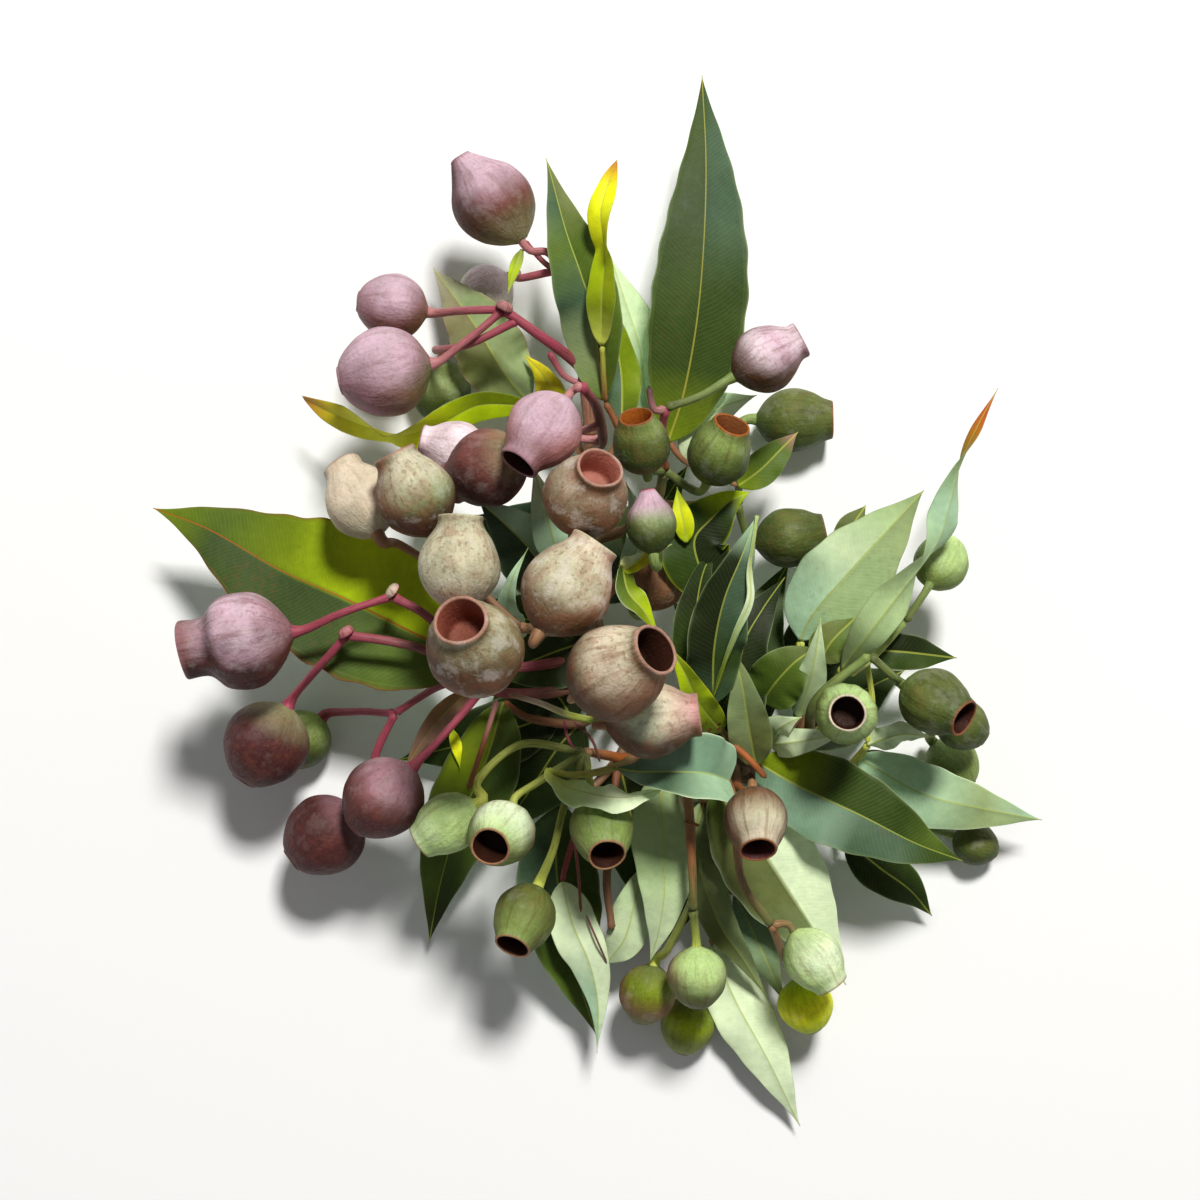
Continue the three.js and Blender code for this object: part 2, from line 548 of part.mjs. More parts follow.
// A point of a leaf's middle surface, and its normal. u runs across from -1 to 1, t along from 0 to 1.
function bladePoint(row, curve, t, u) {
  const middle = curve.getPointAt(t);
  const ahead = curve.getTangentAt(t);
  const right = ahead.clone().cross(EYE.clone().sub(middle)).normalize();
  const up = right.clone().cross(ahead).normalize();
  const roll = THREE.MathUtils.degToRad(along(row.roll, t));
  const across = right.clone().multiplyScalar(Math.cos(roll)).addScaledVector(up, Math.sin(roll));
  const face = up.clone().multiplyScalar(Math.cos(roll)).addScaledVector(right, -Math.sin(roll));
  const half = Math.max((row.width / 2) * outline(row.powers, t), FINEST_EDGE);
  const fold = THREE.MathUtils.degToRad(row.fold);
  const wave = row.wave * u * u * outline(row.powers, t) * Math.sin(2 * Math.PI * row.waves * t + (u > 0 ? 0 : 1.6));
  return {
    place: middle
      .addScaledVector(across, u * half * Math.cos(fold))
      .addScaledVector(face, Math.abs(u) * half * Math.sin(fold) + wave),
    face,
  };
}

// A leaf blade: the same grid on both faces, split into triangles alike, and a strip round the edge.
function blade(row) {
  const curve = curveThrough(row.rib);
  const steps = Math.max(5, Math.round(curve.getLength() / BLADE_STEP));
  const columns = [-1, 0, 1];
  const upper = [];
  const lower = [];
  for (let i = 0; i <= steps; i++) {
    for (const u of columns) {
      const { place, face } = bladePoint(row, curve, i / steps, u);
      upper.push(place.clone().addScaledVector(face, BLADE_THICKNESS / 2));
      lower.push(place.clone().addScaledVector(face, -BLADE_THICKNESS / 2));
    }
  }
  const triangles = [];
  const wide = columns.length;
  const under = upper.length;
  for (let i = 0; i < steps; i++) {
    for (let k = 0; k < wide - 1; k++) {
      const a = i * wide + k;
      for (const [p, q, r] of [[a, a + 1, a + wide + 1], [a, a + wide + 1, a + wide]]) {
        triangles.push([p, q, r], [under + p, under + r, under + q]);
      }
    }
  }
  const rim = [];
  for (let k = 0; k < wide - 1; k++) rim.push(k);
  for (let i = 0; i < steps; i++) rim.push(i * wide + wide - 1);
  for (let k = wide - 1; k > 0; k--) rim.push(steps * wide + k);
  for (let i = steps; i > 0; i--) rim.push(i * wide);
  rim.forEach((a, index) => {
    const b = rim[(index + 1) % rim.length];
    triangles.push([a, under + b, b], [a, under + a, under + b]);
  });
  return solidFrom(geometryOf([...upper, ...lower], triangles));
}

function aim(row) {
  const azimuth = THREE.MathUtils.degToRad(row.azimuth);
  const lift = THREE.MathUtils.degToRad(row.lift);
  return new THREE.Vector3(
    Math.cos(azimuth) * Math.cos(lift), Math.sin(azimuth) * Math.cos(lift), Math.sin(lift));
}

// The point on a nut's axis at share s of its length from the stalk.
function onAxis(row, s) {
  const length = NUT_SHAPES[row.kind].length * row.width;
  return at(row.middle).addScaledVector(aim(row), (s - WIDEST_AT) * length);
}

// A nut: its outline, its rim and its open cup, turned about its axis.
function capsule(row) {
  const shape = NUT_SHAPES[row.kind];
  const length = shape.length * row.width;
  const profile = [[0, 0], ...shape.outside.map(([s, r]) => [r, s]), ...shape.inside.map(([s, r]) => [r, s]),
    [0, shape.inside.at(-1)[0] - 0.05]];
  const points = profile.map(([r, s]) => new THREE.Vector2(r * row.width, (s - WIDEST_AT) * length));
  const geometry = new THREE.LatheGeometry(points, NUT_SIDES);
  const turn = new THREE.Quaternion().setFromUnitVectors(new THREE.Vector3(0, 1, 0), aim(row));
  geometry.applyQuaternion(turn);
  const middle = at(row.middle);
  geometry.translate(middle.x, middle.y, middle.z);
  return solidFrom(geometry);
}

// A nut's stalk, from the branching to a place sunk in the nut.
function stalkPath(row) {
  return [...row.stalk, toPlan(onAxis(row, -0.12)), toPlan(onAxis(row, 0.12))];
}

const SURFACE = solidFrom(new THREE.BoxGeometry(800, 800, 40).translate(0, 0, -20));

// The pieces fused in one body, cut level with the surface and clear of what it grows from.
function fuse(pieces, parents = []) {
  let body = wasm.Manifold.union(pieces).subtract(SURFACE);
  for (const parent of parents) body = body.subtract(parent);
  const bodies = body.decompose().sort((a, b) => b.volume() - a.volume());
  return bodies[0].simplify(SMALLEST_FEATURE);
}

function meshOf(name, solid, colour) {
  const { vertProperties, triVerts } = solid.getMesh();
  const geometry = new THREE.BufferGeometry();
  geometry.setAttribute("position", new THREE.BufferAttribute(vertProperties, 3));
  geometry.setIndex(new THREE.BufferAttribute(triVerts, 1));
  geometry.computeVertexNormals();
  const mesh = new THREE.Mesh(geometry, new THREE.MeshStandardMaterial({ ...COLOURS[colour], metalness: 0 }));
  mesh.name = name;
  return mesh;
}

const mainStem = fuse([limb(MAIN_STEM.path, MAIN_STEM.radii, { sides: STEM_SIDES })]);
const stemWithGap = limb(MAIN_STEM.path, MAIN_STEM.radii, { sides: STEM_SIDES, grow: JOINT_GAP });

function twigSolid({ limbs, leaves }) {
  return fuse([...limbs.map((row) => limb(row.path, row.radii)), ...leaves.map(blade)], [stemWithGap]);
}

function bunchSolid({ limbs, nuts }) {
  const stalks = nuts.map((row) => limb(stalkPath(row), [STALK_RADIUS, STALK_RADIUS * 1.2]));
  return fuse([...limbs.map((row) => limb(row.path, row.radii)), ...stalks, ...nuts.map(capsule)], [stemWithGap]);
}

const branch = new THREE.Group();
branch.add(meshOf("main_stem", mainStem, "bark"));
for (const [name, row] of Object.entries(TWIGS)) branch.add(meshOf(name, twigSolid(row), row.colour));
for (const [name, row] of Object.entries(BUNCHES)) branch.add(meshOf(name, bunchSolid(row), row.colour));

export default branch;
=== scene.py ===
# %% [markdown]
# # A picked branch of gumnuts
# A branch of a red-flowering bloodwood gum lies on a pale table. It has a woody axis, leafy twigs
# and branched stalks that carry urn-shaped seed capsules, the gumnuts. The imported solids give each
# twig and bunch its place. Every piece made here follows the same midribs, stalks and nut axes,
# with a far finer surface, and takes the place of the plain solid that it covers.

import bpy
import numpy as np
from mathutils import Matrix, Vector


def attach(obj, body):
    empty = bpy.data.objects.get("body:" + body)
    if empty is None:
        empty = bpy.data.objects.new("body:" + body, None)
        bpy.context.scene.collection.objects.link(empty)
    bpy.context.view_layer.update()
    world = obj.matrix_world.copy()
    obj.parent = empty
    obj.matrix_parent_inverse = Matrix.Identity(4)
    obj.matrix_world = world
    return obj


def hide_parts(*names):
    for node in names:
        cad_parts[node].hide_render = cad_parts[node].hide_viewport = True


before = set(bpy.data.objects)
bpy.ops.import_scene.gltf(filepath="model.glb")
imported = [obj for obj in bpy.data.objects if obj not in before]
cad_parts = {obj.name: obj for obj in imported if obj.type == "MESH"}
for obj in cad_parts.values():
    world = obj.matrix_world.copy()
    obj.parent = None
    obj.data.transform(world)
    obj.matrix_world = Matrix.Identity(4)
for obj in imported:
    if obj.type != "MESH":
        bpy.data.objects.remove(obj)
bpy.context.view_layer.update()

# %% [markdown]
# A bush of leaves is easiest to describe as it is seen. So a point is written as its place on a
# plan seen from straight above, and its height above the table in millimetres. An eye 800 mm up
# draws a high thing in towards the middle of the plan, and the rule below undoes that.

# %% From the plan to millimetres
MM = 0.001
EYE_HEIGHT = 800.0
GRID_UNIT = 0.36
GRID_SIDE = 1200
PLAN_MIDDLE = 600.0
EYE = np.array([-0.4, 3.7, EYE_HEIGHT])


def at(points):
    """Places in millimetres of plan points: the distance from the plan's middle, times the size of
    a grid unit at that height, which shrinks in proportion to the way left to the eye."""
    p = np.asarray(points, float)
    unit = GRID_UNIT * (EYE_HEIGHT - p[..., 2]) / EYE_HEIGHT
    return np.stack([(p[..., 0] - PLAN_MIDDLE) * unit + EYE[0],
                     (PLAN_MIDDLE - p[..., 1]) * unit + EYE[1], p[..., 2]], axis=-1)


print("the plan is", GRID_SIDE * GRID_UNIT, "mm wide on the table")

# %% [markdown]
# Midribs and stalks bend smoothly through a few points. A Catmull-Rom cubic passes through every
# one of them, so the points can be read off a drawing. Rows are then spread evenly by length,
# so that a pattern on them isn't stretched in the bends.

# %% Smooth paths


def unit(v):
    """The vectors v, each divided by its own length."""
    return v / np.maximum(np.linalg.norm(v, axis=-1, keepdims=True), 1e-9)


def smooth(x, low, high):
    """0 below low and 1 above high, with 3x^2 - 2x^3 between."""
    x = np.clip((x - low) / (high - low), 0, 1)
    return x * x * (3 - 2 * x)


def through(places, shares):
    """The cubic through the places at shares from 0 to 1 of their count. Past each end stands
    the mirror image of the neighbour, so the path leaves its ends without a bend."""
    p = np.vstack([2 * places[0] - places[1], places, 2 * places[-1] - places[-2]])
    x = np.clip(shares, 0, 1) * (len(places) - 1)
    i = np.minimum(x.astype(int), len(places) - 2)
    w = (x - i)[:, None]
    a, b, c, d = p[i], p[i + 1], p[i + 2], p[i + 3]
    return b + 0.5 * w * ((c - a) + w * ((2 * a - 5 * b + 4 * c - d) + w * (3 * b - a - 3 * c + d)))


def rows_along(places, gap, fewest, most):
    """Middles and directions of rows a gap apart along the path, and its length."""
    share = np.linspace(0, 1, 401)
    fine = through(places, share)
    gone = np.append(0, np.cumsum(np.linalg.norm(np.diff(fine, axis=0), axis=1)))
    count = int(np.clip(gone[-1] / gap, fewest, most))
    middle = through(places, np.interp(np.linspace(0, gone[-1], count), gone, share))
    return middle, unit(np.gradient(middle, axis=0)), gone[-1]


def spread(values, t):
    """The value at share t of a short list of values that are spread evenly."""
    return np.interp(t, np.linspace(0, 1, len(values)), values)


# %% [markdown]
# Every surface here is a stack of closed rings: a leaf is a very flat tube, a nut is a tube that
# widens, turns over its rim and comes back down inside. One helper turns such a stack into faces,
# with a single point that closes each end, and one more gathers the stacks of a piece in a mesh.

# %% Rings to a mesh
LOWEST = 0.1


def ringed(rings, tone, place, marks):
    """A closed skin from rings of points, shaped rings by points by 3. Each four neighbours make a
    face, and the middle of the first and last ring closes each end. Tone (a colour and one more
    share), place and marks are values of each point, for the material."""
    n, k, _ = rings.shape
    cell = np.arange(n * k).reshape(n, k)
    here, there = cell[:-1], cell[1:]
    quads = np.stack([here, np.roll(here, -1, 1), np.roll(there, -1, 1), there], -1).reshape(-1, 4)
    first, last = np.full(k, n * k), np.full(k, n * k + 1)
    fans = np.vstack([np.stack([first, np.roll(cell[0], -1), cell[0]], -1),
                      np.stack([last, cell[-1], np.roll(cell[-1], -1)], -1)])
    ends = [np.vstack([values.reshape(n * k, -1), values[0].mean(0)[None], values[-1].mean(0)[None]])
            for values in (rings, tone, place, marks)]
    return {"points": ends[0], "quads": quads, "fans": fans,
            "tone": ends[1], "place": ends[2], "marks": ends[3]}


def piece(name, skins, material, node):
    """One object from many skins, with no point under the table. It stands for the CAD node."""
    offsets = np.cumsum([0] + [len(s["points"]) for s in skins])
    points = np.vstack([s["points"] for s in skins]) * MM
    points[:, 2] = np.maximum(points[:, 2], LOWEST * MM)
    quads = np.vstack([s["quads"] + o for s, o in zip(skins, offsets)])
    fans = np.vstack([s["fans"] + o for s, o in zip(skins, offsets)])
    mesh = bpy.data.meshes.new(name)
    mesh.vertices.add(len(points))
    mesh.vertices.foreach_set("co", points.astype(np.float32).ravel())
    mesh.loops.add(quads.size + fans.size)
    mesh.loops.foreach_set("vertex_index", np.append(quads.ravel(), fans.ravel()).astype(np.int32))
    starts = np.append(np.arange(len(quads)) * 4, quads.size + np.arange(len(fans)) * 3)
    mesh.polygons.add(len(starts))
    mesh.polygons.foreach_set("loop_start", starts.astype(np.int32))
    mesh.polygons.foreach_set("use_smooth", np.ones(len(starts), bool))
    mesh.update(calc_edges=True)
    tone = np.vstack([s["tone"] for s in skins])
    mesh.attributes.new("tone", "FLOAT_COLOR", "POINT").data.foreach_set(
        "color", tone.astype(np.float32).ravel())
    for attribute in ("place", "marks"):
        values = np.vstack([s[attribute] for s in skins])
        mesh.attributes.new(attribute, "FLOAT_VECTOR", "POINT").data.foreach_set(
            "vector", values.astype(np.float32).ravel())
    mesh.materials.append(material)
    made = bpy.data.objects.new(name, mesh)
    bpy.context.scene.collection.objects.link(made)
    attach(made, "root")
    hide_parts(node)
    print(name, "has", 2 * len(quads) + len(fans), "triangles")
    return made


# %% [markdown]
# The same few tones come back all over the branch, so they get names. A short text then says how
# a leaf or a nut is coloured: tones from its base to its tip, and where one word has a stroke in
# it, the tone of one side and of the other. On a nut these are its painted shaded side and its
# painted sunlit side; on a leaf they are its two halves, which often carry a painted sunlit patch
# or a painted shaded part. That is quicker to read and change than numbers.

# %% Named tones
# Painted light among the tones: night is painted shade, a green darker than any leaf in light. Sun, milk and
# frost are as bright as a leaf or a nut in full sun, and mostly paint a sunlit side or patch.
TONES = {
    "night": (0.13, 0.17, 0.08), "deep": (0.21, 0.29, 0.10), "leafy": (0.33, 0.42, 0.14),
    "bright": (0.46, 0.54, 0.07), "lime": (0.70, 0.80, 0.06), "gold": (0.88, 0.84, 0.16),
    "orange": (0.84, 0.50, 0.22), "red": (0.72, 0.14, 0.10), "olive": (0.44, 0.48, 0.27),
    "bluish": (0.28, 0.38, 0.28), "glaucous": (0.47, 0.60, 0.49), "mint": (0.70, 0.84, 0.69),
    "sage": (0.55, 0.62, 0.42), "celadon": (0.66, 0.76, 0.54), "pale": (0.80, 0.88, 0.70),
    "milk": (0.90, 0.97, 0.80), "lilac": (0.80, 0.68, 0.74), "mauve": (0.62, 0.46, 0.50),
    "maroon": (0.48, 0.29, 0.27), "plum": (0.31, 0.16, 0.16), "pink": (0.74, 0.50, 0.50),
    "rose": (0.62, 0.25, 0.32), "khaki": (0.57, 0.55, 0.40), "straw": (0.77, 0.75, 0.63),
    "blush": (0.68, 0.52, 0.45), "umber": (0.50, 0.36, 0.25), "moss": (0.38, 0.42, 0.20),
    "apple": (0.52, 0.61, 0.32), "fresh": (0.72, 0.84, 0.54), "bottle": (0.27, 0.34, 0.14),
    "cream": (0.86, 0.80, 0.70), "rust": (0.55, 0.33, 0.18), "cocoa": (0.22, 0.11, 0.07),
    "clay": (0.58, 0.32, 0.25), "amber": (0.66, 0.36, 0.12), "bark": (0.45, 0.35, 0.25),
    "cane": (0.62, 0.46, 0.32), "lemon": (0.76, 0.80, 0.34), "brown": (0.35, 0.24, 0.16),
    "frost": (0.95, 0.87, 0.90), "terra": (0.78, 0.50, 0.43), "sun": (0.94, 0.96, 0.10),
}


def linear(colours):
    """Light of screen colours: ((c + 0.055) / 1.055) ^ 2.4, and c / 12.92 near black."""
    c = np.asarray(colours, float)
    return np.where(c <= 0.04045, c / 12.92, ((np.maximum(c, 0) + 0.055) / 1.055) ** 2.4)


def toned(words, t, side):
    """Colours from the words: spread evenly from t 0 to 1, and mixed from the word left of
    the stroke at side 0 to the one right of it at side 1."""
    stops = words.split()
    mixed = 0
    for half, share in ((0, 1 - side), (-1, side)):
        rgb = linear([TONES[word.split("/")[half]] for word in stops])
        picked = np.stack([spread(rgb[:, c], t) for c in range(3)], -1)
        mixed = mixed + picked * share[..., None]
    return mixed


print(len(TONES), "tones are named")

# %% [markdown]
# A gum leaf is leathery, about half a millimetre thick, folded a little along its midrib and
# waved along its edges. It could be a flat outline with a thickness added, but then its edge
# would be a sharp step. Here each row across the leaf is a closed flat ring that rounds the edge,
# and the midrib sinks into the upper face and stands proud of the lower one.

# %% The shape of a leaf
LEAF_POWERS = (0.7, 1.3)
BLADE_THICKNESS = 0.5
ROW_GAP = 1.3
LEAF_STALK_RADIUS = 0.75
LEAF_STALK_REACH = 3.0
TIP_HALF_WIDTH = 0.12
RIB_HALF_WIDTH = 0.55
RIB_SUNK = 0.16
RIB_PROUD = 0.34
ACROSS = np.array([0, 0.05, 0.12, 0.26, 0.44, 0.62, 0.78, 0.9, 0.965, 0.992, 1])
ACROSS = np.concatenate([-ACROSS[::-1], ACROSS[1:]])


def leaf(rib, width, roll=(0,), fold=8, wave=1, waves=2, powers=LEAF_POWERS, tones="deep",
         under="mint", veins=0.5, spots=0.1, edge="sage", warm=0.0):
    """A leaf: its midrib, its width in mm, its roll about the midrib in degrees, the fold, the
    height and count of its waves, the powers of its outline, and how its two faces look."""
    return dict(rib=rib, width=width, roll=roll, fold=fold, wave=wave, waves=waves, powers=powers,
                tones=tones, under=under, veins=veins, spots=spots, edge=edge, warm=warm)


def outline(powers, t):
    """Half the width as a share: t^a (1-t)^b over its greatest value, which is at t = a/(a+b)."""
    a, b = powers
    peak = a / (a + b)
    return t ** a * (1 - t) ** b / (peak ** a * (1 - peak) ** b)


def leaf_skin(row, seed):
    """The leaf as flat rings. A point is the midrib's, plus u half-widths across, tilted up by
    the fold, plus the wave, which grows with u squared, and half the thickness on its face."""
    middle, ahead, length = rows_along(at(row["rib"]), ROW_GAP, 34, 110)
    t = np.linspace(0, 1, len(middle))[:, None]
    right = unit(np.cross(ahead, EYE - middle))
    up = unit(np.cross(right, ahead))
    roll = np.radians(spread(row["roll"], t))
    across = (right * np.cos(roll) + up * np.sin(roll))[:, None]
    face = (up * np.cos(roll) - right * np.sin(roll))[:, None]
    u = np.append(ACROSS, ACROSS[-2:0:-1])[None]
    upper = np.where(np.arange(u.size) < len(ACROSS), 1, -1)[None]
    wide = outline(row["powers"], t)
    stem = LEAF_STALK_RADIUS * np.exp(-((t * length) / LEAF_STALK_REACH) ** 2)
    half = np.maximum(np.maximum(row["width"] / 2 * wide, stem), TIP_HALF_WIDTH)
    fold = np.radians(row["fold"])
    random = np.random.default_rng(seed)
    lag = random.uniform(0, 6.28, 4)
    wave = row["wave"] * np.sin(2 * np.pi * row["waves"] * t + np.where(u > 0, 0, 1.6))
    late = np.where(u > 0, lag[0], lag[1])
    ripple = 0.22 * row["wave"] * np.sin(2 * np.pi * 2.7 * row["waves"] * t + late)
    swell = 0.3 * np.sin(length / 9 * t + lag[2]) * np.sin(2.2 * u + lag[3]) * wide
    ragged = 1 + 0.02 * np.sin(length / 2.3 * t + lag[0]) * np.abs(u) ** 6
    reach = u * half * ragged
    rib_depth = np.where(upper > 0, -RIB_SUNK, -RIB_PROUD)
    rib_dip = np.exp(-(reach / RIB_HALF_WIDTH) ** 2) * rib_depth * (1 - 0.7 * t)
    skin = BLADE_THICKNESS / 2 * (1 - np.abs(u) ** 5) ** 0.5 * upper * np.minimum(half, 1)
    stalk = upper * np.sqrt(np.clip(stem ** 2 - reach ** 2, 0, None)) * np.minimum(stem, 1)
    lift = np.abs(reach) * np.sin(fold) + (wave + ripple) * u ** 2 * wide + swell * 0.6 + skin + rib_dip
    sideways = across * (reach * np.cos(fold))[..., None]
    points = middle[:, None] + sideways + face * (lift + stalk)[..., None]
    # The two halves take the two words of a stroke. On many leaves they paint a sunlit half or patch and a
    # shaded one.
    side = smooth(u, -0.05, 0.05) * np.ones_like(t)
    shown = np.where(upper[..., None] > 0, toned(row["tones"], t, side), toned(row["under"], t, side))
    rim = smooth(np.abs(u), 0.955, 0.99)[..., None] * 0.75
    shown = shown * (1 - rim) + linear(TONES[row["edge"]]) * rim
    shown = np.concatenate([shown, np.full_like(shown[..., :1], row["warm"])], -1)
    place = np.stack(np.broadcast_arrays(t * length, reach, half), -1)
    veins = row["veins"] * np.ones_like(t)
    marks = np.stack(np.broadcast_arrays(veins, row["spots"], (upper > 0) * 1.0), -1)
    return ringed(points, shown, place, marks)


# %% [markdown]
# A gumnut is the woody cup that is left when a gum flower falls: an egg with a neck, a rim and a
# hollow mouth, turned like a pot on a wheel. So its shape is an outline carried round an axis,
# with a rounded lip and a cup that goes down inside. Real ones aren't perfectly round, and some
# are ribbed, so the radius also changes a little with the angle.

# %% The shape of a nut
NUT_SHAPES = {
    "urn": {"length": 1.18, "cup": 0.66, "outside": [
        (0, 0.08), (0.12, 0.3), (0.3, 0.46), (0.5, 0.5), (0.72, 0.42), (0.9, 0.29), (1, 0.28)],
        "inside": [(1, 0.24), (0.88, 0.22), (0.7, 0.21)]},
    "barrel": {"length": 1.18, "cup": 0.62, "outside": [
        (0, 0.08), (0.13, 0.31), (0.31, 0.46), (0.5, 0.5), (0.74, 0.44), (0.9, 0.34), (1, 0.3)],
        "inside": [(1, 0.262), (0.88, 0.24), (0.66, 0.22)]},
    "beaked": {"length": 1.3, "cup": 0.9, "outside": [
        (0, 0.08), (0.1, 0.27), (0.25, 0.43), (0.45, 0.5), (0.65, 0.45), (0.82, 0.3), (1, 0.14)],
        "inside": [(1, 0.1), (0.97, 0.09), (0.94, 0.08)]},
    "blunt": {"length": 1.04, "cup": 0.88, "outside": [
        (0, 0.08), (0.12, 0.31), (0.28, 0.45), (0.47, 0.5), (0.68, 0.46), (0.84, 0.36), (0.95, 0.25),
        (1, 0.16)], "inside": [(1, 0.12), (0.96, 0.11), (0.92, 0.1)]},
    "collared": {"length": 1.18, "cup": 0.52, "outside": [
        (0, 0.08), (0.12, 0.3), (0.28, 0.46), (0.45, 0.5), (0.65, 0.46), (0.8, 0.31), (1, 0.31)],
        "inside": [(1, 0.275), (0.88, 0.25), (0.6, 0.22)]},
}
WIDEST_AT = 0.45
# SUN is the direction that the painted sunlight comes from. It is not a lamp: it only says which side of a
# nut is painted in its sunlit tone.
SUN = unit(np.array([0.15, 0.62, 0.78]))
NUT_ROUND = 52


def nut(middle, width, azimuth, lift, kind, stalk, tones="khaki", rim="cream", cup="cocoa",
        ribs=(0, 0.0), streaks=0.5, bloom=0.2, scurf=0.3):
    """A nut: the middle of its body, its width in mm, where its mouth points, its outline, its
    stalk, and its look. In tones, a word with a stroke gives its painted shaded and sunlit sides."""
    return dict(middle=middle, width=width, azimuth=azimuth, lift=lift, kind=kind, stalk=stalk,
                tones=tones, rim=rim, cup=cup, ribs=ribs, streaks=streaks, bloom=bloom, scurf=scurf)


def aim(row):
    """The way that the mouth points: (cos a cos b, sin a cos b, sin b) for its two angles."""
    a, b = np.radians(row["azimuth"]), np.radians(row["lift"])
    return np.array([np.cos(a) * np.cos(b), np.sin(a) * np.cos(b), np.sin(b)])


def on_axis(row, s):
    """The point of the axis at share s of the nut's length from its stalk."""
    length = NUT_SHAPES[row["kind"]]["length"]
    return at(row["middle"]) + aim(row) * (s - WIDEST_AT) * length * row["width"]


def nut_outline(shape):
    """The outline as (share of length, radius): up the outside, half a circle over the lip, and
    down the cup to its floor."""
    outside = through(np.array(shape["outside"], float), np.linspace(0, 1, 36))
    inside = through(np.array(shape["inside"], float), np.linspace(0, 1, 10))
    lip = (outside[-1] + inside[0]) / 2
    radius = (outside[-1, 1] - inside[0, 1]) / 2
    turn = np.linspace(0, np.pi, 7)[1:-1]
    over = lip + np.stack([np.sin(turn) * radius * 0.9, np.cos(turn) * radius], -1)
    floor = inside[-1, 1] * np.cos(np.linspace(0, np.pi / 2, 6))[1:]
    depth = inside[-1, 0] - (inside[-1, 0] - shape["cup"]) * np.sin(np.linspace(0, np.pi / 2, 6))[1:]
    floor = np.stack([depth, np.maximum(floor, 0.004)], -1)
    part = np.repeat([0.0, 0.5, 1.0], [len(outside), len(over), len(inside) + len(floor)])
    profile = np.vstack([outside, over, inside, floor])
    profile[:, 0] /= profile[:, 0].max()
    return profile, part


def nut_skin(row, seed):
    """The outline turned round the axis. The radius is the outline's times 1 plus a few waves in
    the angle: a slow one for the crooked body and, where the nut is ribbed, one for each rib."""
    shape = NUT_SHAPES[row["kind"]]
    profile, part = nut_outline(shape)
    s, r, part = profile[:, :1], profile[:, 1:], part[:, None]
    angle = np.linspace(0, 2 * np.pi, NUT_ROUND, endpoint=False)[None]
    random = np.random.default_rng(seed)
    lag = random.uniform(0, 6.28, 6)
    outer = 1 - smooth(part, 0.2, 0.8)
    count, strength = row["ribs"]
    ribbed = strength * np.cos(count * angle + 0.6 * np.sin(angle + lag[0]))
    ribbed = ribbed * np.clip(np.sin(np.pi * s), 0, 1) ** 0.7
    crooked = 0.018 * np.sin(2 * angle + lag[1]) + 0.012 * np.sin(3 * angle + lag[2] + 3 * s)
    dents = 0.012 * np.sin(5 * angle + lag[3] + 5 * s) * np.sin(7 * s + lag[4])
    dents = dents + 0.008 * np.sin(9 * angle + lag[5] - 4 * s) * np.sin(13 * s + lag[0])
    radius = row["width"] * r * (1 + crooked + (ribbed + dents) * outer)
    length = shape["length"] * row["width"]
    rim_wave = 0.006 * length * np.sin(2 * angle + lag[5]) * smooth(s, 0.85, 1)
    axis = aim(row)
    e1 = unit(np.cross(axis, [0.3, 0.2, 1.0] if abs(axis[2]) < 0.9 else [1.0, 0.2, 0.1]))
    e2 = np.cross(axis, e1)
    out = e1 * np.cos(angle)[..., None] + e2 * np.sin(angle)[..., None]
    points = (at(row["middle"]) + axis * ((s - WIDEST_AT) * length + rim_wave)[..., None]
              + out * radius[..., None])
    slope = np.gradient(r, axis=0) / np.maximum(np.gradient(s, axis=0) * shape["length"], 1e-3)
    slope = np.clip(slope, -3, 3) * (part < 0.4)
    normal = unit(out - axis * slope[..., None])
    # Painted light: lit is how far a point faces SUN, and it turns the nut from its painted shaded tone to
    # its painted sunlit tone.
    lit = smooth(normal @ SUN, 0.1, 0.9)
    skin = toned(row["tones"], s, lit)
    rim = (1 - np.abs(part - 0.5) * 2)[..., None]
    near_rim = (smooth(s, 0.955, 1.0) * outer)[..., None] * 0.7
    skin = skin * (1 - near_rim) + linear(TONES[row["rim"]]) * near_rim
    skin = skin * (1 - rim) + linear(TONES[row["rim"]]) * rim
    inside = smooth(part, 0.5, 0.9)[..., None] * np.ones_like(skin)
    # Painted shade in the cup: its tone is darkened to 0.7 towards the floor and kept full at the lip.
    deep = linear(TONES[row["cup"]]) * (0.7 + 0.3 * smooth(s, shape["cup"], 0.98))[..., None]
    skin = skin * (1 - inside) + deep * inside
    skin = np.concatenate([skin, (row["scurf"] * outer * np.ones_like(angle))[..., None]], -1)
    place = np.stack(np.broadcast_arrays(8 * np.cos(angle), 8 * np.sin(angle), s * length), -1)
    marks = np.stack(np.broadcast_arrays(row["streaks"] * outer, row["bloom"] * outer, outer), -1)
    return ringed(points, skin, place * np.ones_like(points), marks * np.ones_like(points))


# %% [markdown]
# Twigs and stalks are round, a little crooked, and knobbly where they branch: a knee is left
# where a leaf or a flower stalk once was. Each is a circle carried along its path. The radius
# comes from a short list and swells near both ends, so that limbs that meet make a knee.

# %% The shape of a stalk
STALK_RADIUS = 1.35
KNEE_REACH = 1.5
END_ROUND = 0.8


def limb(path, radii, tones="cane", knees=(0.3, 0.3)):
    """A twig or stalk: its path, its radii, its tones from start to end, and how far it swells
    at its two ends, as a share of its radius."""
    return dict(path=path, radii=radii, tones=tones, knees=knees)


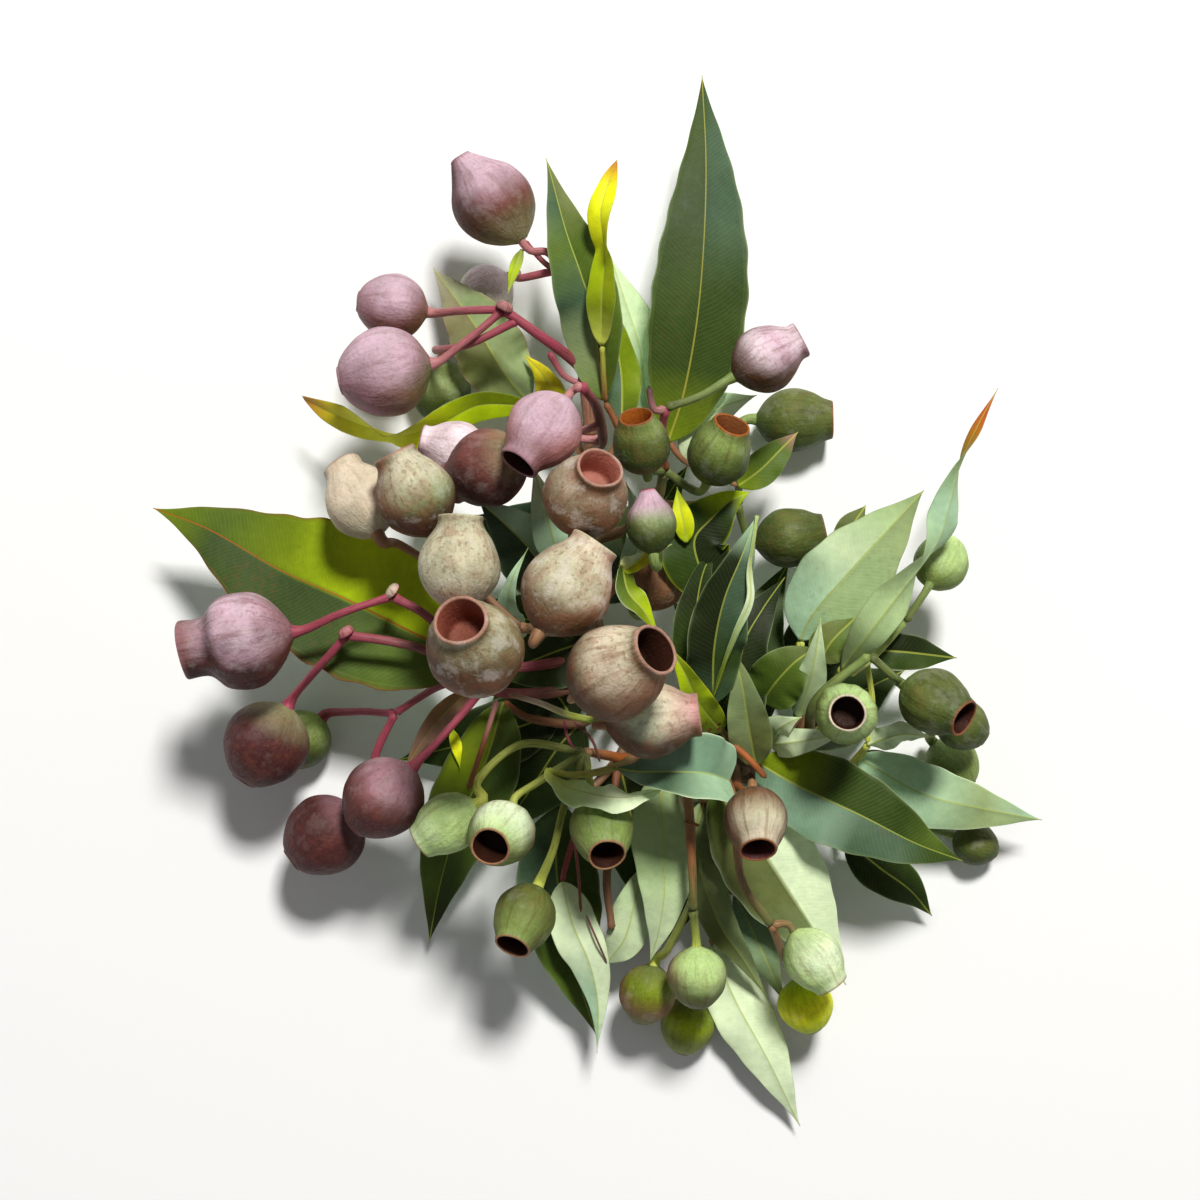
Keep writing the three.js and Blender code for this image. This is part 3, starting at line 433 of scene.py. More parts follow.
def limb_skin(row, seed, places=None, sides=14, gap=1.2, rough=0.05):
    """Circles along the path. The two directions across it are the path's own binormal, taken
    from the way the whole path bends least, and the one square to that."""
    places = at(row["path"]) if places is None else places
    middle, ahead, length = rows_along(places, gap, 10, 260)
    gone = np.linspace(0, length, len(middle))[:, None]
    t = gone / length
    least = np.linalg.svd(ahead - ahead.mean(0) * 0.2)[2][-1]
    e1 = unit(np.cross(ahead, least))
    e2 = np.cross(ahead, e1)
    random = np.random.default_rng(seed)
    lag = random.uniform(0, 6.28, 4)
    radius = spread(row["radii"], t)
    first, last = row["knees"]
    start_knee = first * np.exp(-((gone / radius / KNEE_REACH) ** 2))
    end_knee = last * np.exp(-(((length - gone) / radius / KNEE_REACH) ** 2))
    radius = radius * (1 + start_knee + end_knee)
    angle = np.linspace(0, 2 * np.pi, sides, endpoint=False)[None]
    oval = rough * np.sin(2 * angle + gone / 7 + lag[0])
    lumps = rough * 0.6 * np.sin(gone / 2.6 + lag[1] + angle)
    radius = radius * (1 + oval + lumps)
    sway = 0.25 * np.sin(gone / 6 + lag[2]) * np.sin(np.pi * t)
    to_end = np.minimum(gone, length - gone)
    close = np.sqrt(np.clip(1 - (1 - to_end / END_ROUND) ** 2, 0.05, 1))
    close = np.where(to_end < END_ROUND, close, 1)
    points = middle[:, None] + (e1[:, None] * (np.cos(angle) * radius * close + sway)[..., None]
                                + e2[:, None] * (np.sin(angle) * radius * close)[..., None])
    tone = toned(row["tones"], t, 0 * t + 0 * angle)
    place = np.stack(np.broadcast_arrays(3 * np.cos(angle), 3 * np.sin(angle), gone), -1)
    tone = np.concatenate([tone * np.ones_like(points), np.ones_like(points[..., :1])], -1)
    return ringed(points, tone, place, np.zeros_like(points))


def stalk_skin(row, tones, seed):
    """A nut's own stalk: through its listed points, and then into the foot of the nut."""
    places = np.vstack([at(row["stalk"]), on_axis(row, -0.12), on_axis(row, 0.1)])
    flare = row["width"] * 0.11
    radii = [STALK_RADIUS] * 5 + [STALK_RADIUS * 1.15, flare]
    return limb_skin(dict(radii=radii, tones=tones, knees=(0.35, 0)), seed, places)


# %% [markdown]
# Materials are built from nodes in code. A small helper adds a node and plugs values or other
# nodes' outputs into its inputs by name, which keeps each material short enough to read.

# %% Node helpers


def put(tree, kind, settings=None, **inputs):
    """A new node of that kind in the tree. A keyword is an input's name, with _ for a space."""
    made = tree.nodes.new("ShaderNode" + kind)
    for name, value in (settings or {}).items():
        setattr(made, name, value)
    for name, value in inputs.items():
        plug(tree, made.inputs[name.replace("_", " ")], value)
    return made


def plug(tree, socket, value):
    """Links another node's output into the socket, or sets a plain value there."""
    if isinstance(value, bpy.types.NodeSocket):
        tree.links.new(value, socket)
    else:
        socket.default_value = value


def carried(tree, name):
    """The outputs of a value that the mesh carries under that name."""
    return put(tree, "Attribute", {"attribute_name": name}).outputs


def maths(tree, operation, *values, clamp=False):
    """A Math node's output, from numbers or sockets."""
    made = tree.nodes.new("ShaderNodeMath")
    made.operation, made.use_clamp = operation, clamp
    for socket, value in zip(made.inputs, values):
        plug(tree, socket, value)
    return made.outputs[0]


def ramp(tree, value, low, high, new_low=0.0, new_high=1.0):
    """A smooth step of the value from low to high."""
    made = put(tree, "MapRange", {"interpolation_type": "SMOOTHSTEP"}, Value=value, From_Min=low,
               From_Max=high, To_Min=new_low, To_Max=new_high)
    return made.outputs["Result"]


def mixed(tree, share, a, b, blend="MIX"):
    """Colour a turned into colour b by the share."""
    made = tree.nodes.new("ShaderNodeMix")
    made.data_type, made.blend_type = "RGBA", blend
    for socket, value in ((made.inputs[0], share), (made.inputs[6], a), (made.inputs[7], b)):
        plug(tree, socket, value)
    return made.outputs[2]


def colour(name, strength=1.0):
    """A named tone as the four numbers that a colour socket takes."""
    return (*(linear(TONES[name]) * strength), 1.0)


def group(name, ins, outs):
    """An empty node group with float, vector or colour sockets, and its two end nodes."""
    tree = bpy.data.node_groups.new(name, "ShaderNodeTree")
    for direction, sockets in (("INPUT", ins), ("OUTPUT", outs)):
        for label, kind in sockets.items():
            tree.interface.new_socket(name=label, in_out=direction, socket_type="NodeSocket" + kind)
    return tree, tree.nodes.new("NodeGroupInput").outputs, tree.nodes.new("NodeGroupOutput").inputs


def use(tree, made, **inputs):
    """The group placed in a material, with its own values."""
    held = tree.nodes.new("ShaderNodeGroup")
    held.node_tree = made
    for name, value in inputs.items():
        plug(tree, held.inputs[name.replace("_", " ")], value)
    return held.outputs


def material(name):
    """A new material with a Principled shader, and its tree."""
    made = bpy.data.materials.new(name)
    made.use_nodes = True
    return made, made.node_tree, made.node_tree.nodes["Principled BSDF"]


# %% [markdown]
# Gum leaves have one strong midrib and many fine side veins, which leave it at a steep angle and
# end in a vein that runs just inside the margin. All three are worked out from each point's
# distance along and across the leaf, which its mesh carries, so they follow every bend.

# %% The veins of a leaf


def vein_group():
    """Midrib, side veins and margin as masks. A side vein is where (along - 0.75 across) divided
    by their spacing is near a whole number."""
    tree, ins, outs = group("leaf_veins", {"Place": "Vector", "Spacing": "Float"},
                            {"Midrib": "Float", "Side": "Float", "Margin": "Float"})
    xyz = put(tree, "SeparateXYZ", Vector=ins["Place"]).outputs
    reach = maths(tree, "ABSOLUTE", xyz["Y"])
    taper = ramp(tree, xyz["X"], 0.0, 70.0, 1.0, 0.5)
    outs_midrib = ramp(tree, maths(tree, "DIVIDE", reach, taper), 0.46, 0.26)
    bent = put(tree, "TexNoise", Vector=ins["Place"], Scale=0.05, Detail=1.0).outputs["Fac"]
    slant = maths(tree, "MULTIPLY_ADD", reach, -0.75, xyz["X"])
    slant = maths(tree, "MULTIPLY_ADD", bent, 6.0, slant)
    slant = maths(tree, "MULTIPLY_ADD", maths(tree, "SIGN", xyz["Y"]), 0.7, slant)
    wave = maths(tree, "FRACT", maths(tree, "DIVIDE", slant, ins["Spacing"]))
    line = ramp(tree, maths(tree, "ABSOLUTE", maths(tree, "SUBTRACT", wave, 0.5)), 0.13, 0.02)
    share = maths(tree, "DIVIDE", reach, maths(tree, "MAXIMUM", xyz["Z"], 0.3))
    inner = maths(tree, "MULTIPLY", line, ramp(tree, share, 0.95, 0.8))
    border = ramp(tree, maths(tree, "ABSOLUTE", maths(tree, "SUBTRACT", share, 0.91)), 0.02, 0.005)
    plug(tree, outs["Midrib"], outs_midrib)
    plug(tree, outs["Side"], maths(tree, "MAXIMUM", inner, maths(tree, "MULTIPLY", border, 0.7)))
    plug(tree, outs["Margin"], ramp(tree, share, 0.94, 1.0))
    return tree


LEAF_VEINS = vein_group()

# %% [markdown]
# Nothing that grew is one flat colour. Two slow noises, one in the size of a thumb and one in the
# size of a pinhead, lighten and darken every surface. Blemishes are a third, sharply cut noise.

# %% Mottling and blemishes


def mottle_group():
    """A colour made lighter and darker by two noises of the branch's own coordinates, given in
    metres, and a height of the finer one."""
    tree, ins, outs = group("mottling", {"Colour": "Color", "Place": "Vector", "Size": "Float",
                                         "Strength": "Float"}, {"Colour": "Color", "Height": "Float"})
    broad = put(tree, "TexNoise", Vector=ins["Place"], Scale=ins["Size"], Detail=2.0).outputs["Fac"]
    fine = put(tree, "TexNoise", Vector=ins["Place"], Scale=maths(tree, "MULTIPLY", ins["Size"], 9.0),
               Detail=3.0).outputs["Fac"]
    both = maths(tree, "ADD", maths(tree, "MULTIPLY", broad, 0.7), maths(tree, "MULTIPLY", fine, 0.3))
    swing = maths(tree, "MULTIPLY", maths(tree, "SUBTRACT", both, 0.5), ins["Strength"])
    lighter = put(tree, "HueSaturation", Color=ins["Colour"],
                  Value=maths(tree, "ADD", 1.0, swing),
                  Hue=maths(tree, "MULTIPLY_ADD", swing, -0.03, 0.5)).outputs["Color"]
    plug(tree, outs["Colour"], lighter)
    plug(tree, outs["Height"], fine)
    return tree


MOTTLING = mottle_group()


def blemish_group():
    """Small ragged dots: where a cell noise comes within a short distance of its points, and a
    slower noise says that this is a spotted part."""
    tree, ins, outs = group("blemishes", {"Place": "Vector", "Amount": "Float"}, {"Mask": "Float"})
    cells = put(tree, "TexVoronoi", Vector=ins["Place"], Scale=420.0, Randomness=1.0).outputs["Distance"]
    where = put(tree, "TexNoise", Vector=ins["Place"], Scale=45.0, Detail=2.0).outputs["Fac"]
    size = maths(tree, "MULTIPLY", ramp(tree, where, 0.42, 0.68), 0.42)
    dots = ramp(tree, maths(tree, "SUBTRACT", size, cells), 0.0, 0.12)
    plug(tree, outs["Mask"], maths(tree, "MULTIPLY", dots, ins["Amount"], clamp=True))
    return tree


BLEMISHES = blemish_group()

# %% [markdown]
# The leaf's colours come from its mesh, with painted light and shade among them. The material adds
# the yellow midrib, the side veins, which are lighter than the blade, and a little gloss on the
# upper face. The lower face is duller, so the roughness reads which face a point is on.

# %% Leaf material


def leaf_material():
    """Blade tone, mottled, with veins, brown spots, a glossier upper face and vein relief. The
    fourth value of the tone says how far the midrib turns from yellow to orange brown."""
    made, tree, shader = material("gum_leaf")
    tone = carried(tree, "tone")
    place = carried(tree, "place")["Vector"]
    marks = put(tree, "SeparateXYZ", Vector=carried(tree, "marks")["Vector"])
    where = put(tree, "TexCoord").outputs["Object"]
    veins = use(tree, LEAF_VEINS, Place=place, Spacing=1.6)
    spots = use(tree, BLEMISHES, Place=where, Amount=marks.outputs["Y"])
    skin = use(tree, MOTTLING, Colour=tone["Color"], Place=where, Size=42.0, Strength=1.1)
    strength = marks.outputs["X"]
    lighter = mixed(tree, 0.6, skin["Colour"], colour("lemon"))
    side = maths(tree, "MULTIPLY", maths(tree, "MULTIPLY", veins["Side"], strength), 0.11)
    with_side = mixed(tree, side, skin["Colour"], lighter)
    rib = mixed(tree, tone["Alpha"], mixed(tree, 0.35, colour("lemon", 0.8), skin["Colour"]), colour("amber"))
    midrib = maths(tree, "MULTIPLY", veins["Midrib"], ramp(tree, strength, 0.0, 0.6))
    with_rib = mixed(tree, midrib, with_side, rib)
    plug(tree, shader.inputs["Base Color"], mixed(tree, spots["Mask"], with_rib, colour("rust", 0.6)))
    dull = ramp(tree, marks.outputs["Z"], 0.0, 1.0, 0.65, 0.5)
    rough = maths(tree, "MULTIPLY_ADD", skin["Height"], 0.2, maths(tree, "SUBTRACT", dull, 0.1))
    plug(tree, shader.inputs["Roughness"], rough)
    plug(tree, shader.inputs["Specular IOR Level"], 0.16)
    height = maths(tree, "MULTIPLY_ADD", veins["Side"], -0.2, skin["Height"])
    bump = put(tree, "Bump", Strength=0.35, Distance=0.0004, Height=height)
    plug(tree, shader.inputs["Normal"], bump.outputs["Normal"])
    return made


LEAF = leaf_material()

# %% [markdown]
# A nut's skin is streaked from its stalk to its rim, because it swelled lengthwise, and wears a
# pale bloom that rubs off. The streaks are a noise that is drawn out along the axis, and the bloom
# is a softer one that turns the skin paler and duller where it is kept.

# %% Nut material


def streak_group():
    """Noise stretched along the third axis: its height is divided by the length of a streak."""
    tree, ins, outs = group("streaks", {"Place": "Vector", "Fineness": "Float", "Length": "Float"},
                            {"Mask": "Float"})
    xyz = put(tree, "SeparateXYZ", Vector=ins["Place"]).outputs
    drawn = put(tree, "CombineXYZ", X=xyz["X"], Y=xyz["Y"],
                Z=maths(tree, "DIVIDE", xyz["Z"], ins["Length"])).outputs["Vector"]
    noise = put(tree, "TexNoise", Vector=drawn, Scale=ins["Fineness"], Detail=3.0, Roughness=0.6)
    plug(tree, outs["Mask"], noise.outputs["Fac"])
    return tree


STREAKS = streak_group()


def nut_material():
    """Nut tone with scurfy patches, streaks, bloom and fine pits. The fourth value of the tone
    says how scurfy the skin is."""
    made, tree, shader = material("gumnut_skin")
    tone = carried(tree, "tone")
    place = carried(tree, "place")["Vector"]
    marks = put(tree, "SeparateXYZ", Vector=carried(tree, "marks")["Vector"])
    where = put(tree, "TexCoord").outputs["Object"]
    skin = use(tree, MOTTLING, Colour=tone["Color"], Place=where, Size=110.0, Strength=1.3)
    patches = put(tree, "TexNoise", Vector=where, Scale=150.0, Detail=5.0, Roughness=0.65).outputs["Fac"]
    flecks = put(tree, "TexNoise", Vector=where, Scale=620.0, Detail=3.0, Roughness=0.6).outputs["Fac"]
    scurf = maths(tree, "MULTIPLY", ramp(tree, patches, 0.5, 0.62), tone["Alpha"])
    scurfy = mixed(tree, maths(tree, "MULTIPLY", scurf, 0.6), skin["Colour"],
                   mixed(tree, 0.5, skin["Colour"], colour("clay")))
    fleck = maths(tree, "MULTIPLY", ramp(tree, flecks, 0.54, 0.66), tone["Alpha"])
    flecked = mixed(tree, maths(tree, "MULTIPLY", fleck, 0.45), scurfy, colour("umber", 0.7))
    streaks = use(tree, STREAKS, Place=place, Fineness=0.8, Length=9.0)["Mask"]
    dark = maths(tree, "MULTIPLY", ramp(tree, streaks, 0.48, 0.66), marks.outputs["X"])
    darker = mixed(tree, 1.0, flecked, (0.5, 0.38, 0.32, 1.0), "MULTIPLY")
    streaked = mixed(tree, maths(tree, "MULTIPLY", dark, 0.65), flecked, darker)
    kept = maths(tree, "MULTIPLY", ramp(tree, patches, 0.5, 0.36), marks.outputs["Y"])
    bloomed = mixed(tree, maths(tree, "MULTIPLY", kept, 0.45), streaked, (0.76, 0.70, 0.66, 1.0))
    plug(tree, shader.inputs["Base Color"], bloomed)
    plug(tree, shader.inputs["Roughness"], maths(tree, "MULTIPLY_ADD", kept, 0.15, 0.55))
    plug(tree, shader.inputs["Specular IOR Level"], 0.2)
    height = maths(tree, "ADD", maths(tree, "MULTIPLY", streaks, 1.2),
                   maths(tree, "ADD", skin["Height"], maths(tree, "MULTIPLY", patches, 1.5)))
    bump = put(tree, "Bump", Strength=0.5, Distance=0.0006, Height=height)
    plug(tree, shader.inputs["Normal"], bump.outputs["Normal"])
    return made


NUT = nut_material()

# %% [markdown]
# Young stalks are smooth and pink or green. Older twigs are brown, with short cracks along them.
# Both are one material: the mesh's tone, with streaks along the stalk and a shallow relief.

# %% Stalk and bark materials


def stalk_material(name, length, depth, contrast):
    """Tone with lengthwise streaks that also give the relief."""
    made, tree, shader = material(name)
    tone = carried(tree, "tone")["Color"]
    place = carried(tree, "place")["Vector"]
    where = put(tree, "TexCoord").outputs["Object"]
    skin = use(tree, MOTTLING, Colour=tone, Place=where, Size=140.0, Strength=contrast)
    streaks = use(tree, STREAKS, Place=place, Fineness=1.1, Length=length)["Mask"]
    darker = mixed(tree, 1.0, skin["Colour"], (0.4, 0.3, 0.26, 1.0), "MULTIPLY")
    cracked = mixed(tree, ramp(tree, streaks, 0.5, 0.75), skin["Colour"], darker)
    plug(tree, shader.inputs["Base Color"], cracked)
    plug(tree, shader.inputs["Roughness"], maths(tree, "MULTIPLY_ADD", skin["Height"], 0.2, 0.5))
    bump = put(tree, "Bump", Strength=0.6, Distance=depth, Height=maths(tree, "MULTIPLY", streaks, -1.0))
    plug(tree, shader.inputs["Normal"], bump.outputs["Normal"])
    return made


STALK = stalk_material("young_stalk", 6.0, 0.0003, 0.6)
BARK = stalk_material("old_bark", 10.0, 0.0012, 1.1)

# %% [markdown]
# The woody axis lies on the table at its cut end and rises under the leaves. It is one thick limb,
# a little oval and knobbly, and its ends are rounded off.

# %% The woody axis
STEM_PATH = [[905, 835, 4], [830, 800, 4], [760, 775, 4.5], [690, 748, 6], [640, 722, 9], [606, 680, 13],
             [594, 620, 17], [591, 550, 22], [592, 480, 30], [590, 430, 40]]
STEM_RADII = [5, 5, 4.8, 4.5, 4.2, 3.8, 3.4, 3, 2.6, 2.2]
STEM = limb(STEM_PATH, STEM_RADII, "bark bark bark cane cane", (0, 0.1))
STEM_LOWEST = 0.15


def stem_skin():
    """The axis as rings, with no point lower over the table than STEM_LOWEST, in millimetres."""
    made = limb_skin(STEM, 7, sides=28, gap=1.6, rough=0.04)
    made["points"][:, 2] = np.maximum(made["points"][:, 2], STEM_LOWEST)
    return made


piece("main_stem_bark", [stem_skin()], BARK, "main_stem")

# %% [markdown]
# Now the leafy twigs. Each has its limbs and its leaves, and the leaves that show their underside
# have a roll near 180 degrees. Tones run from the base of a leaf to its tip. Many leaves carry
# painted light: a painted sunlit half or patch, painted shade in the darkest greens, or both.

# %% Leafy twigs


def inner_leaf(rib, width, fold=6, wave=0.8):
    """A leaf deep in the branch, of which little shows, in the darkest greens as painted shade."""
    return leaf(rib, width, fold=fold, wave=wave, tones="night deep")


TWIGS = {
    "twig_top": ("leaf", [
        limb([[592, 495, 28.5], [608, 460, 38], [622, 435, 42]], [1.9, 1.4]),
        limb([[608, 460, 38], [640, 452, 40], [669, 442, 42]], [1.6, 1.2], "cane rust"),
        limb([[622, 435, 42], [605, 402, 44]], [1.3, 1.1], "rust"),
        limb([[605, 402, 44], [602, 345, 55]], [1.1, 0.9], "rust lemon"),
        limb([[669, 442, 42], [680, 458, 41], [692, 466, 40]], [1.1, 0.9], "rust cane"),
        limb([[692, 466, 40], [716, 474, 38], [738, 486, 36]], [0.95, 0.8]),
    ], [
        leaf([[668, 442, 42], [684, 392, 46], [697, 320, 50], [704, 240, 50], [706, 160, 45],
             [702, 75, 36]], 33, wave=0.8, tones="bright deep deep deep/bluish deep/bluish deep", veins=1.0,
             warm=0.2),
        leaf([[603, 400, 44], [593, 315, 50], [581, 274, 53], [565, 228, 50], [546, 158, 43]], 23,
             [25, 15, -10, -25], 20, 1.2, tones="leafy sage/leafy bluish/leafy leafy bluish/olive olive",
             veins=0.8),
        leaf([[602, 345, 55], [602, 300, 61], [606, 255, 64], [601, 215, 65], [608, 185, 62],
             [617, 160, 57]], 13, [20, 30, 75, 20, 10], 12, 0.6, 2, [0.6, 0.9],
             tones="lemon bright lime sun sun red", veins=0.8),
        leaf([[648, 420, 34], [640, 350, 28], [625, 300, 26], [611, 257, 22]], 20, [180, 190], 6, 1.2, 3,
             under="mint pale pale", veins=0.4),
        # Painted light: one half of this leaf is painted bright as sunlit and the other dark as shaded.
        leaf([[622, 430, 42], [622, 380, 38], [616, 340, 37], [607, 290, 36]], 14, [10],
             tones="deep bluish/bright night/bright night", veins=0.7),
        leaf([[668, 446, 40], [662, 415, 40], [653, 386, 38]], 9, [180], 6, 0.6, under="pale"),
        leaf([[692, 466, 40], [698, 440, 42], [718, 410, 44], [757, 395, 42]], 15, [180],
             under="pale milk pale", veins=0.4),
        leaf([[738, 486, 36], [760, 470, 38], [780, 450, 37], [798, 432, 32]], 12, wave=0.8,
             tones="bright leafy leafy pink"),
    ]),
    "twig_upper_left": ("leaf", [
        limb([[591.5, 470, 32], [562, 422, 27], [530, 405, 24]], [1.7, 1.1], "cane rust"),
    ], [
        leaf([[530, 404, 24], [506, 375, 28], [475, 325, 30], [433, 268, 16]], 25, [170, 190], 6, 2.4, 4,
             under="sage sage/olive sage/khaki straw", spots=1.0, edge="blush"),
        leaf([[530, 406, 25], [480, 405, 33], [440, 424, 37], [400, 435, 37], [365, 426, 35],
             [330, 412, 31], [302, 396, 27]], 16, [15, 35, 45, 80, 35, 60], 12, 1, 2, [0.6, 0.7],
             tones="bright lime lime sun sun gold orange", under="lime sun sun gold", spots=0.2),
        leaf([[562, 420, 27], [546, 380, 32], [524, 354, 30]], 10, [20], 8, 0.8, tones="bright gold gold"),
    ]),
    "twig_left": ("leaf", [
        limb([[599, 650, 15], [550, 664, 26], [500, 668, 40], [472, 658, 45]], [2.2, 1.5],
             "cane rose pink"),
    ], [
        # Painted light: one half of this leaf is painted in sunlit lime towards its base and middle, the
        # other in darker greens.
        leaf([[474, 660, 45], [420, 636, 46], [350, 601, 44], [280, 570, 40], [210, 530, 37],
             [153, 508, 32]], 51, [2, 0, -6], 7, 1.2,
             tones="leafy/lime leafy/lime deep/lime deep/bright deep/leafy bright", veins=1.0, spots=0.25,
             edge="rust", warm=1.0),
    ]),
    "twig_middle": ("leaf", [
        limb([[593, 608, 18], [602, 602, 40], [614, 588, 60], [622, 573, 73]], [1.8, 1], "cane rust"),
        limb([[596, 607, 25], [578, 606, 36], [562, 600, 42]], [1.4, 1]),
        limb([[562, 600, 42], [562, 572, 54]], [1, 0.9]),
    ], [
        leaf([[562, 600, 42], [532, 552, 50], [504, 523, 50], [478, 500, 46]], 25, [10], 8, 1.4,
             tones="night night/bluish bluish/mint night"),
        leaf([[562, 572, 54], [546, 512, 64], [533, 465, 62]], 13, [180], 8, 0.8, under="mint mint milk"),
        leaf([[622, 573, 73], [638, 545, 71], [637, 515, 66], [626, 482, 64]], 9, [170], 8, 0.8),
        leaf([[622, 566, 74], [628, 592, 78], [643, 610, 78], [658, 634, 75]], 9, [40, 20], 10, 0.8,
             tones="deep bright/leafy lime/bright lime", edge="milk"),
        leaf([[622, 573, 73], [632, 563, 76], [641, 557, 76], [649, 553, 75]], 7, [150, 130], 10, 0.8, 3,
             under="gold pale pale"),
        inner_leaf([[600, 603, 32], [625, 562, 20], [655, 515, 13], [688, 465, 9]], 26, 8, 1.4),
        inner_leaf([[590, 609, 20], [562, 620, 10], [520, 618, 6], [470, 600, 4]], 24),
    ]),
    "twig_right_of_middle": ("leaf", [
        limb([[762, 776, 4.5], [752, 764, 22], [742, 745, 38]], [2.4, 1.4], "bark rust"),
        limb([[742, 745, 38], [722, 732, 46], [713, 704, 55]], [1.3, 0.8], "rust leafy"),
        limb([[752, 764, 22], [770, 745, 32], [798, 718, 39], [820, 662, 43]], [1.6, 1], "rust cane"),
        limb([[722, 732, 46], [713, 680, 50], [710, 630, 53], [712, 592, 54]], [1, 0.8], "leafy"),
        limb([[770, 745, 32], [766, 722, 38], [762, 702, 40]], [1, 0.8], "leafy"),
    ], [
        # Painted light: one half turns to a sunlit lime towards the tip, and the rest is in the dark, shaded
        # greens.
        leaf([[712, 592, 54], [698, 562, 58], [695, 538, 59], [711, 519, 60], [729, 502, 60],
             [750, 492, 58]], 23, [0], 10, 1.4, 3, [0.5, 1.1],
             tones="night deep/night deep/night deep/night lime/deep lime", edge="lime"),
        leaf([[718, 715, 48], [702, 670, 52], [696, 620, 56], [704, 570, 58], [722, 545, 58]], 18, fold=10,
             tones="deep deep night deep"),
        leaf([[713, 704, 56], [714, 650, 66], [724, 600, 73], [742, 555, 74], [757, 515, 68]], 20, [-10],
             12, 1.8, 3, tones="bluish night/deep night/bluish night/bluish mint"),
        leaf([[742, 745, 36], [738, 690, 42], [744, 644, 44], [762, 610, 42], [785, 577, 34]], 20,
             tones="night"),
        leaf([[756, 766, 38], [748, 722, 52], [742, 684, 60], [733, 647, 62]], 15,
             tones="olive sage/olive sage sage/olive"),
        leaf([[762, 702, 40], [776, 682, 48], [795, 662, 52], [815, 648, 50]], 20, [0], 10, 1.4, 2,
             [0.7, 1.1], tones="leafy leafy olive/leafy"),
        leaf([[798, 718, 40], [813, 670, 55], [821, 618, 59]], 11, [170, 200], 8, 1.2,
             under="celadon pale"),
        leaf([[820, 662, 43], [832, 641, 46], [856, 617, 44]], 14, wave=0.8,
             tones="bright/olive olive/leafy leafy"),
        leaf([[722, 732, 46], [700, 705, 62], [684, 672, 74], [664, 640, 75]], 11, waves=3,
             tones="deep/bright bright lime lime/bright bright", spots=1.0, edge="gold"),
        leaf([[770, 745, 32], [786, 743, 47], [815, 739, 53], [850, 730, 53]], 11, [170], 8, 0.8, 3,
             under="milk pale"),
        leaf([[770, 745, 32], [778, 730, 46], [790, 722, 52], [802, 717, 54]], 13, [180], 8, 0.8,
             under="milk pale"),
        inner_leaf([[742, 745, 34], [725, 690, 24], [700, 640, 18], [672, 600, 14]], 26, 8, 1),
        inner_leaf([[742, 745, 34], [745, 690, 22], [760, 620, 16], [790, 560, 10]], 26, 8, 1),
    ]),
    "twig_upper_right": ("pale_leaf", [
        limb([[790, 787, 4.3], [800, 745, 14], [806, 700, 24], [800, 640, 33]], [2.4, 1.3],
             "bark cane lemon"),
        limb([[806, 700, 24], [830, 690, 34], [842, 668, 47]], [1.5, 1.1], "cane lemon"),
        limb([[800, 640, 33], [830, 600, 30], [848, 562, 30]], [1.1, 0.9]),
    ], [
        leaf([[800, 640, 33], [814, 613, 39], [846, 576, 46], [882, 536, 48], [924, 490, 40]], 30, [180], 8,
             1.2, tones="leafy", under="mint celadon/mint celadon/pale sage/celadon sage", veins=0.9),
        leaf([[842, 668, 47], [870, 632, 62], [900, 592, 64], [935, 545, 62], [947, 512, 60],
             [958, 470, 58], [976, 430, 54], [998, 388, 48]], 15, [175, 170, 150, 95, 150, 100, 30, 20], 10,
             tones="leafy bright bright red", under="sage celadon celadon mint bright bright"),
        leaf([[848, 562, 30], [851, 530, 32], [866, 505, 28]], 12, wave=0.8, tones="deep olive"),
        inner_leaf([[800, 745, 14], [830, 715, 12], [865, 690, 10], [905, 670, 7]], 26, 6, 1),
        inner_leaf([[806, 700, 22], [815, 650, 16], [835, 600, 12], [850, 550, 8]], 24, 6, 1),
    ]),
    "twig_right": ("leaf", [
        limb([[835, 803, 4], [850, 770, 16], [868, 744, 32]], [2.2, 1.2], "bark lemon"),
        limb([[868, 744, 32], [872, 700, 32], [866, 650, 34]], [1.2, 0.9], "lemon"),
    ], [
        leaf([[858, 757, 22], [920, 793, 27], [980, 808, 26], [1042, 820, 19]], 22, [180], 8, 1.2,
             under="mint mint sage celadon/mint", veins=0.7, edge="milk"),
        leaf([[866, 650, 34], [905, 652, 36], [957, 658, 30]], 13, wave=0.8,
             tones="night/deep night/deep deep"),
        leaf([[868, 744, 32], [902, 734, 39], [934, 737, 40]], 10, [160, 130], 10, 1.4, under="pale"),
        inner_leaf([[850, 770, 16], [872, 774, 11], [895, 780, 7], [918, 790, 5]], 18, 6, 0.6),
    ]),
    "twig_lower_right": ("leaf", [
        limb([[776, 781, 4.4], [770, 772, 20], [759, 763, 33]], [2, 1.2], "bark amber"),
    ], [
        # Painted light and shade: one half of this wavy leaf is painted dark and the other pale blue-green.
        leaf([[757, 762, 34], [800, 787, 42], [860, 815, 46], [915, 843, 45], [963, 861, 36]], 30, [0, 5],
             9, 1.5, 3,
             tones="bright/bluish bright/glaucous deep/glaucous deep/bluish deep/bluish leafy/deep deep",
             veins=1.0),
    ]),
    "twig_far_right": ("leaf", [
        limb([[850, 811, 4], [842, 828, 8], [846, 840, 12]], [1.6, 1], "bark"),
    ], [
        leaf([[846, 840, 12], [880, 868, 15], [910, 890, 13], [932, 916, 7]], 17, wave=0.8,
             tones="night deep", edge="celadon"),
    ]),
    "twig_bottom_right": ("pale_leaf", [
        limb([[696, 751, 6], [704, 800, 14], [712, 870, 15], [712, 945, 13]], [2.2, 1.1], "bark cane"),
        limb([[704, 800, 14], [708, 796, 24], [712, 790, 33]], [1.4, 1]),
        limb([[712, 870, 15], [735, 895, 21]], [1.1, 0.9]),
    ], [
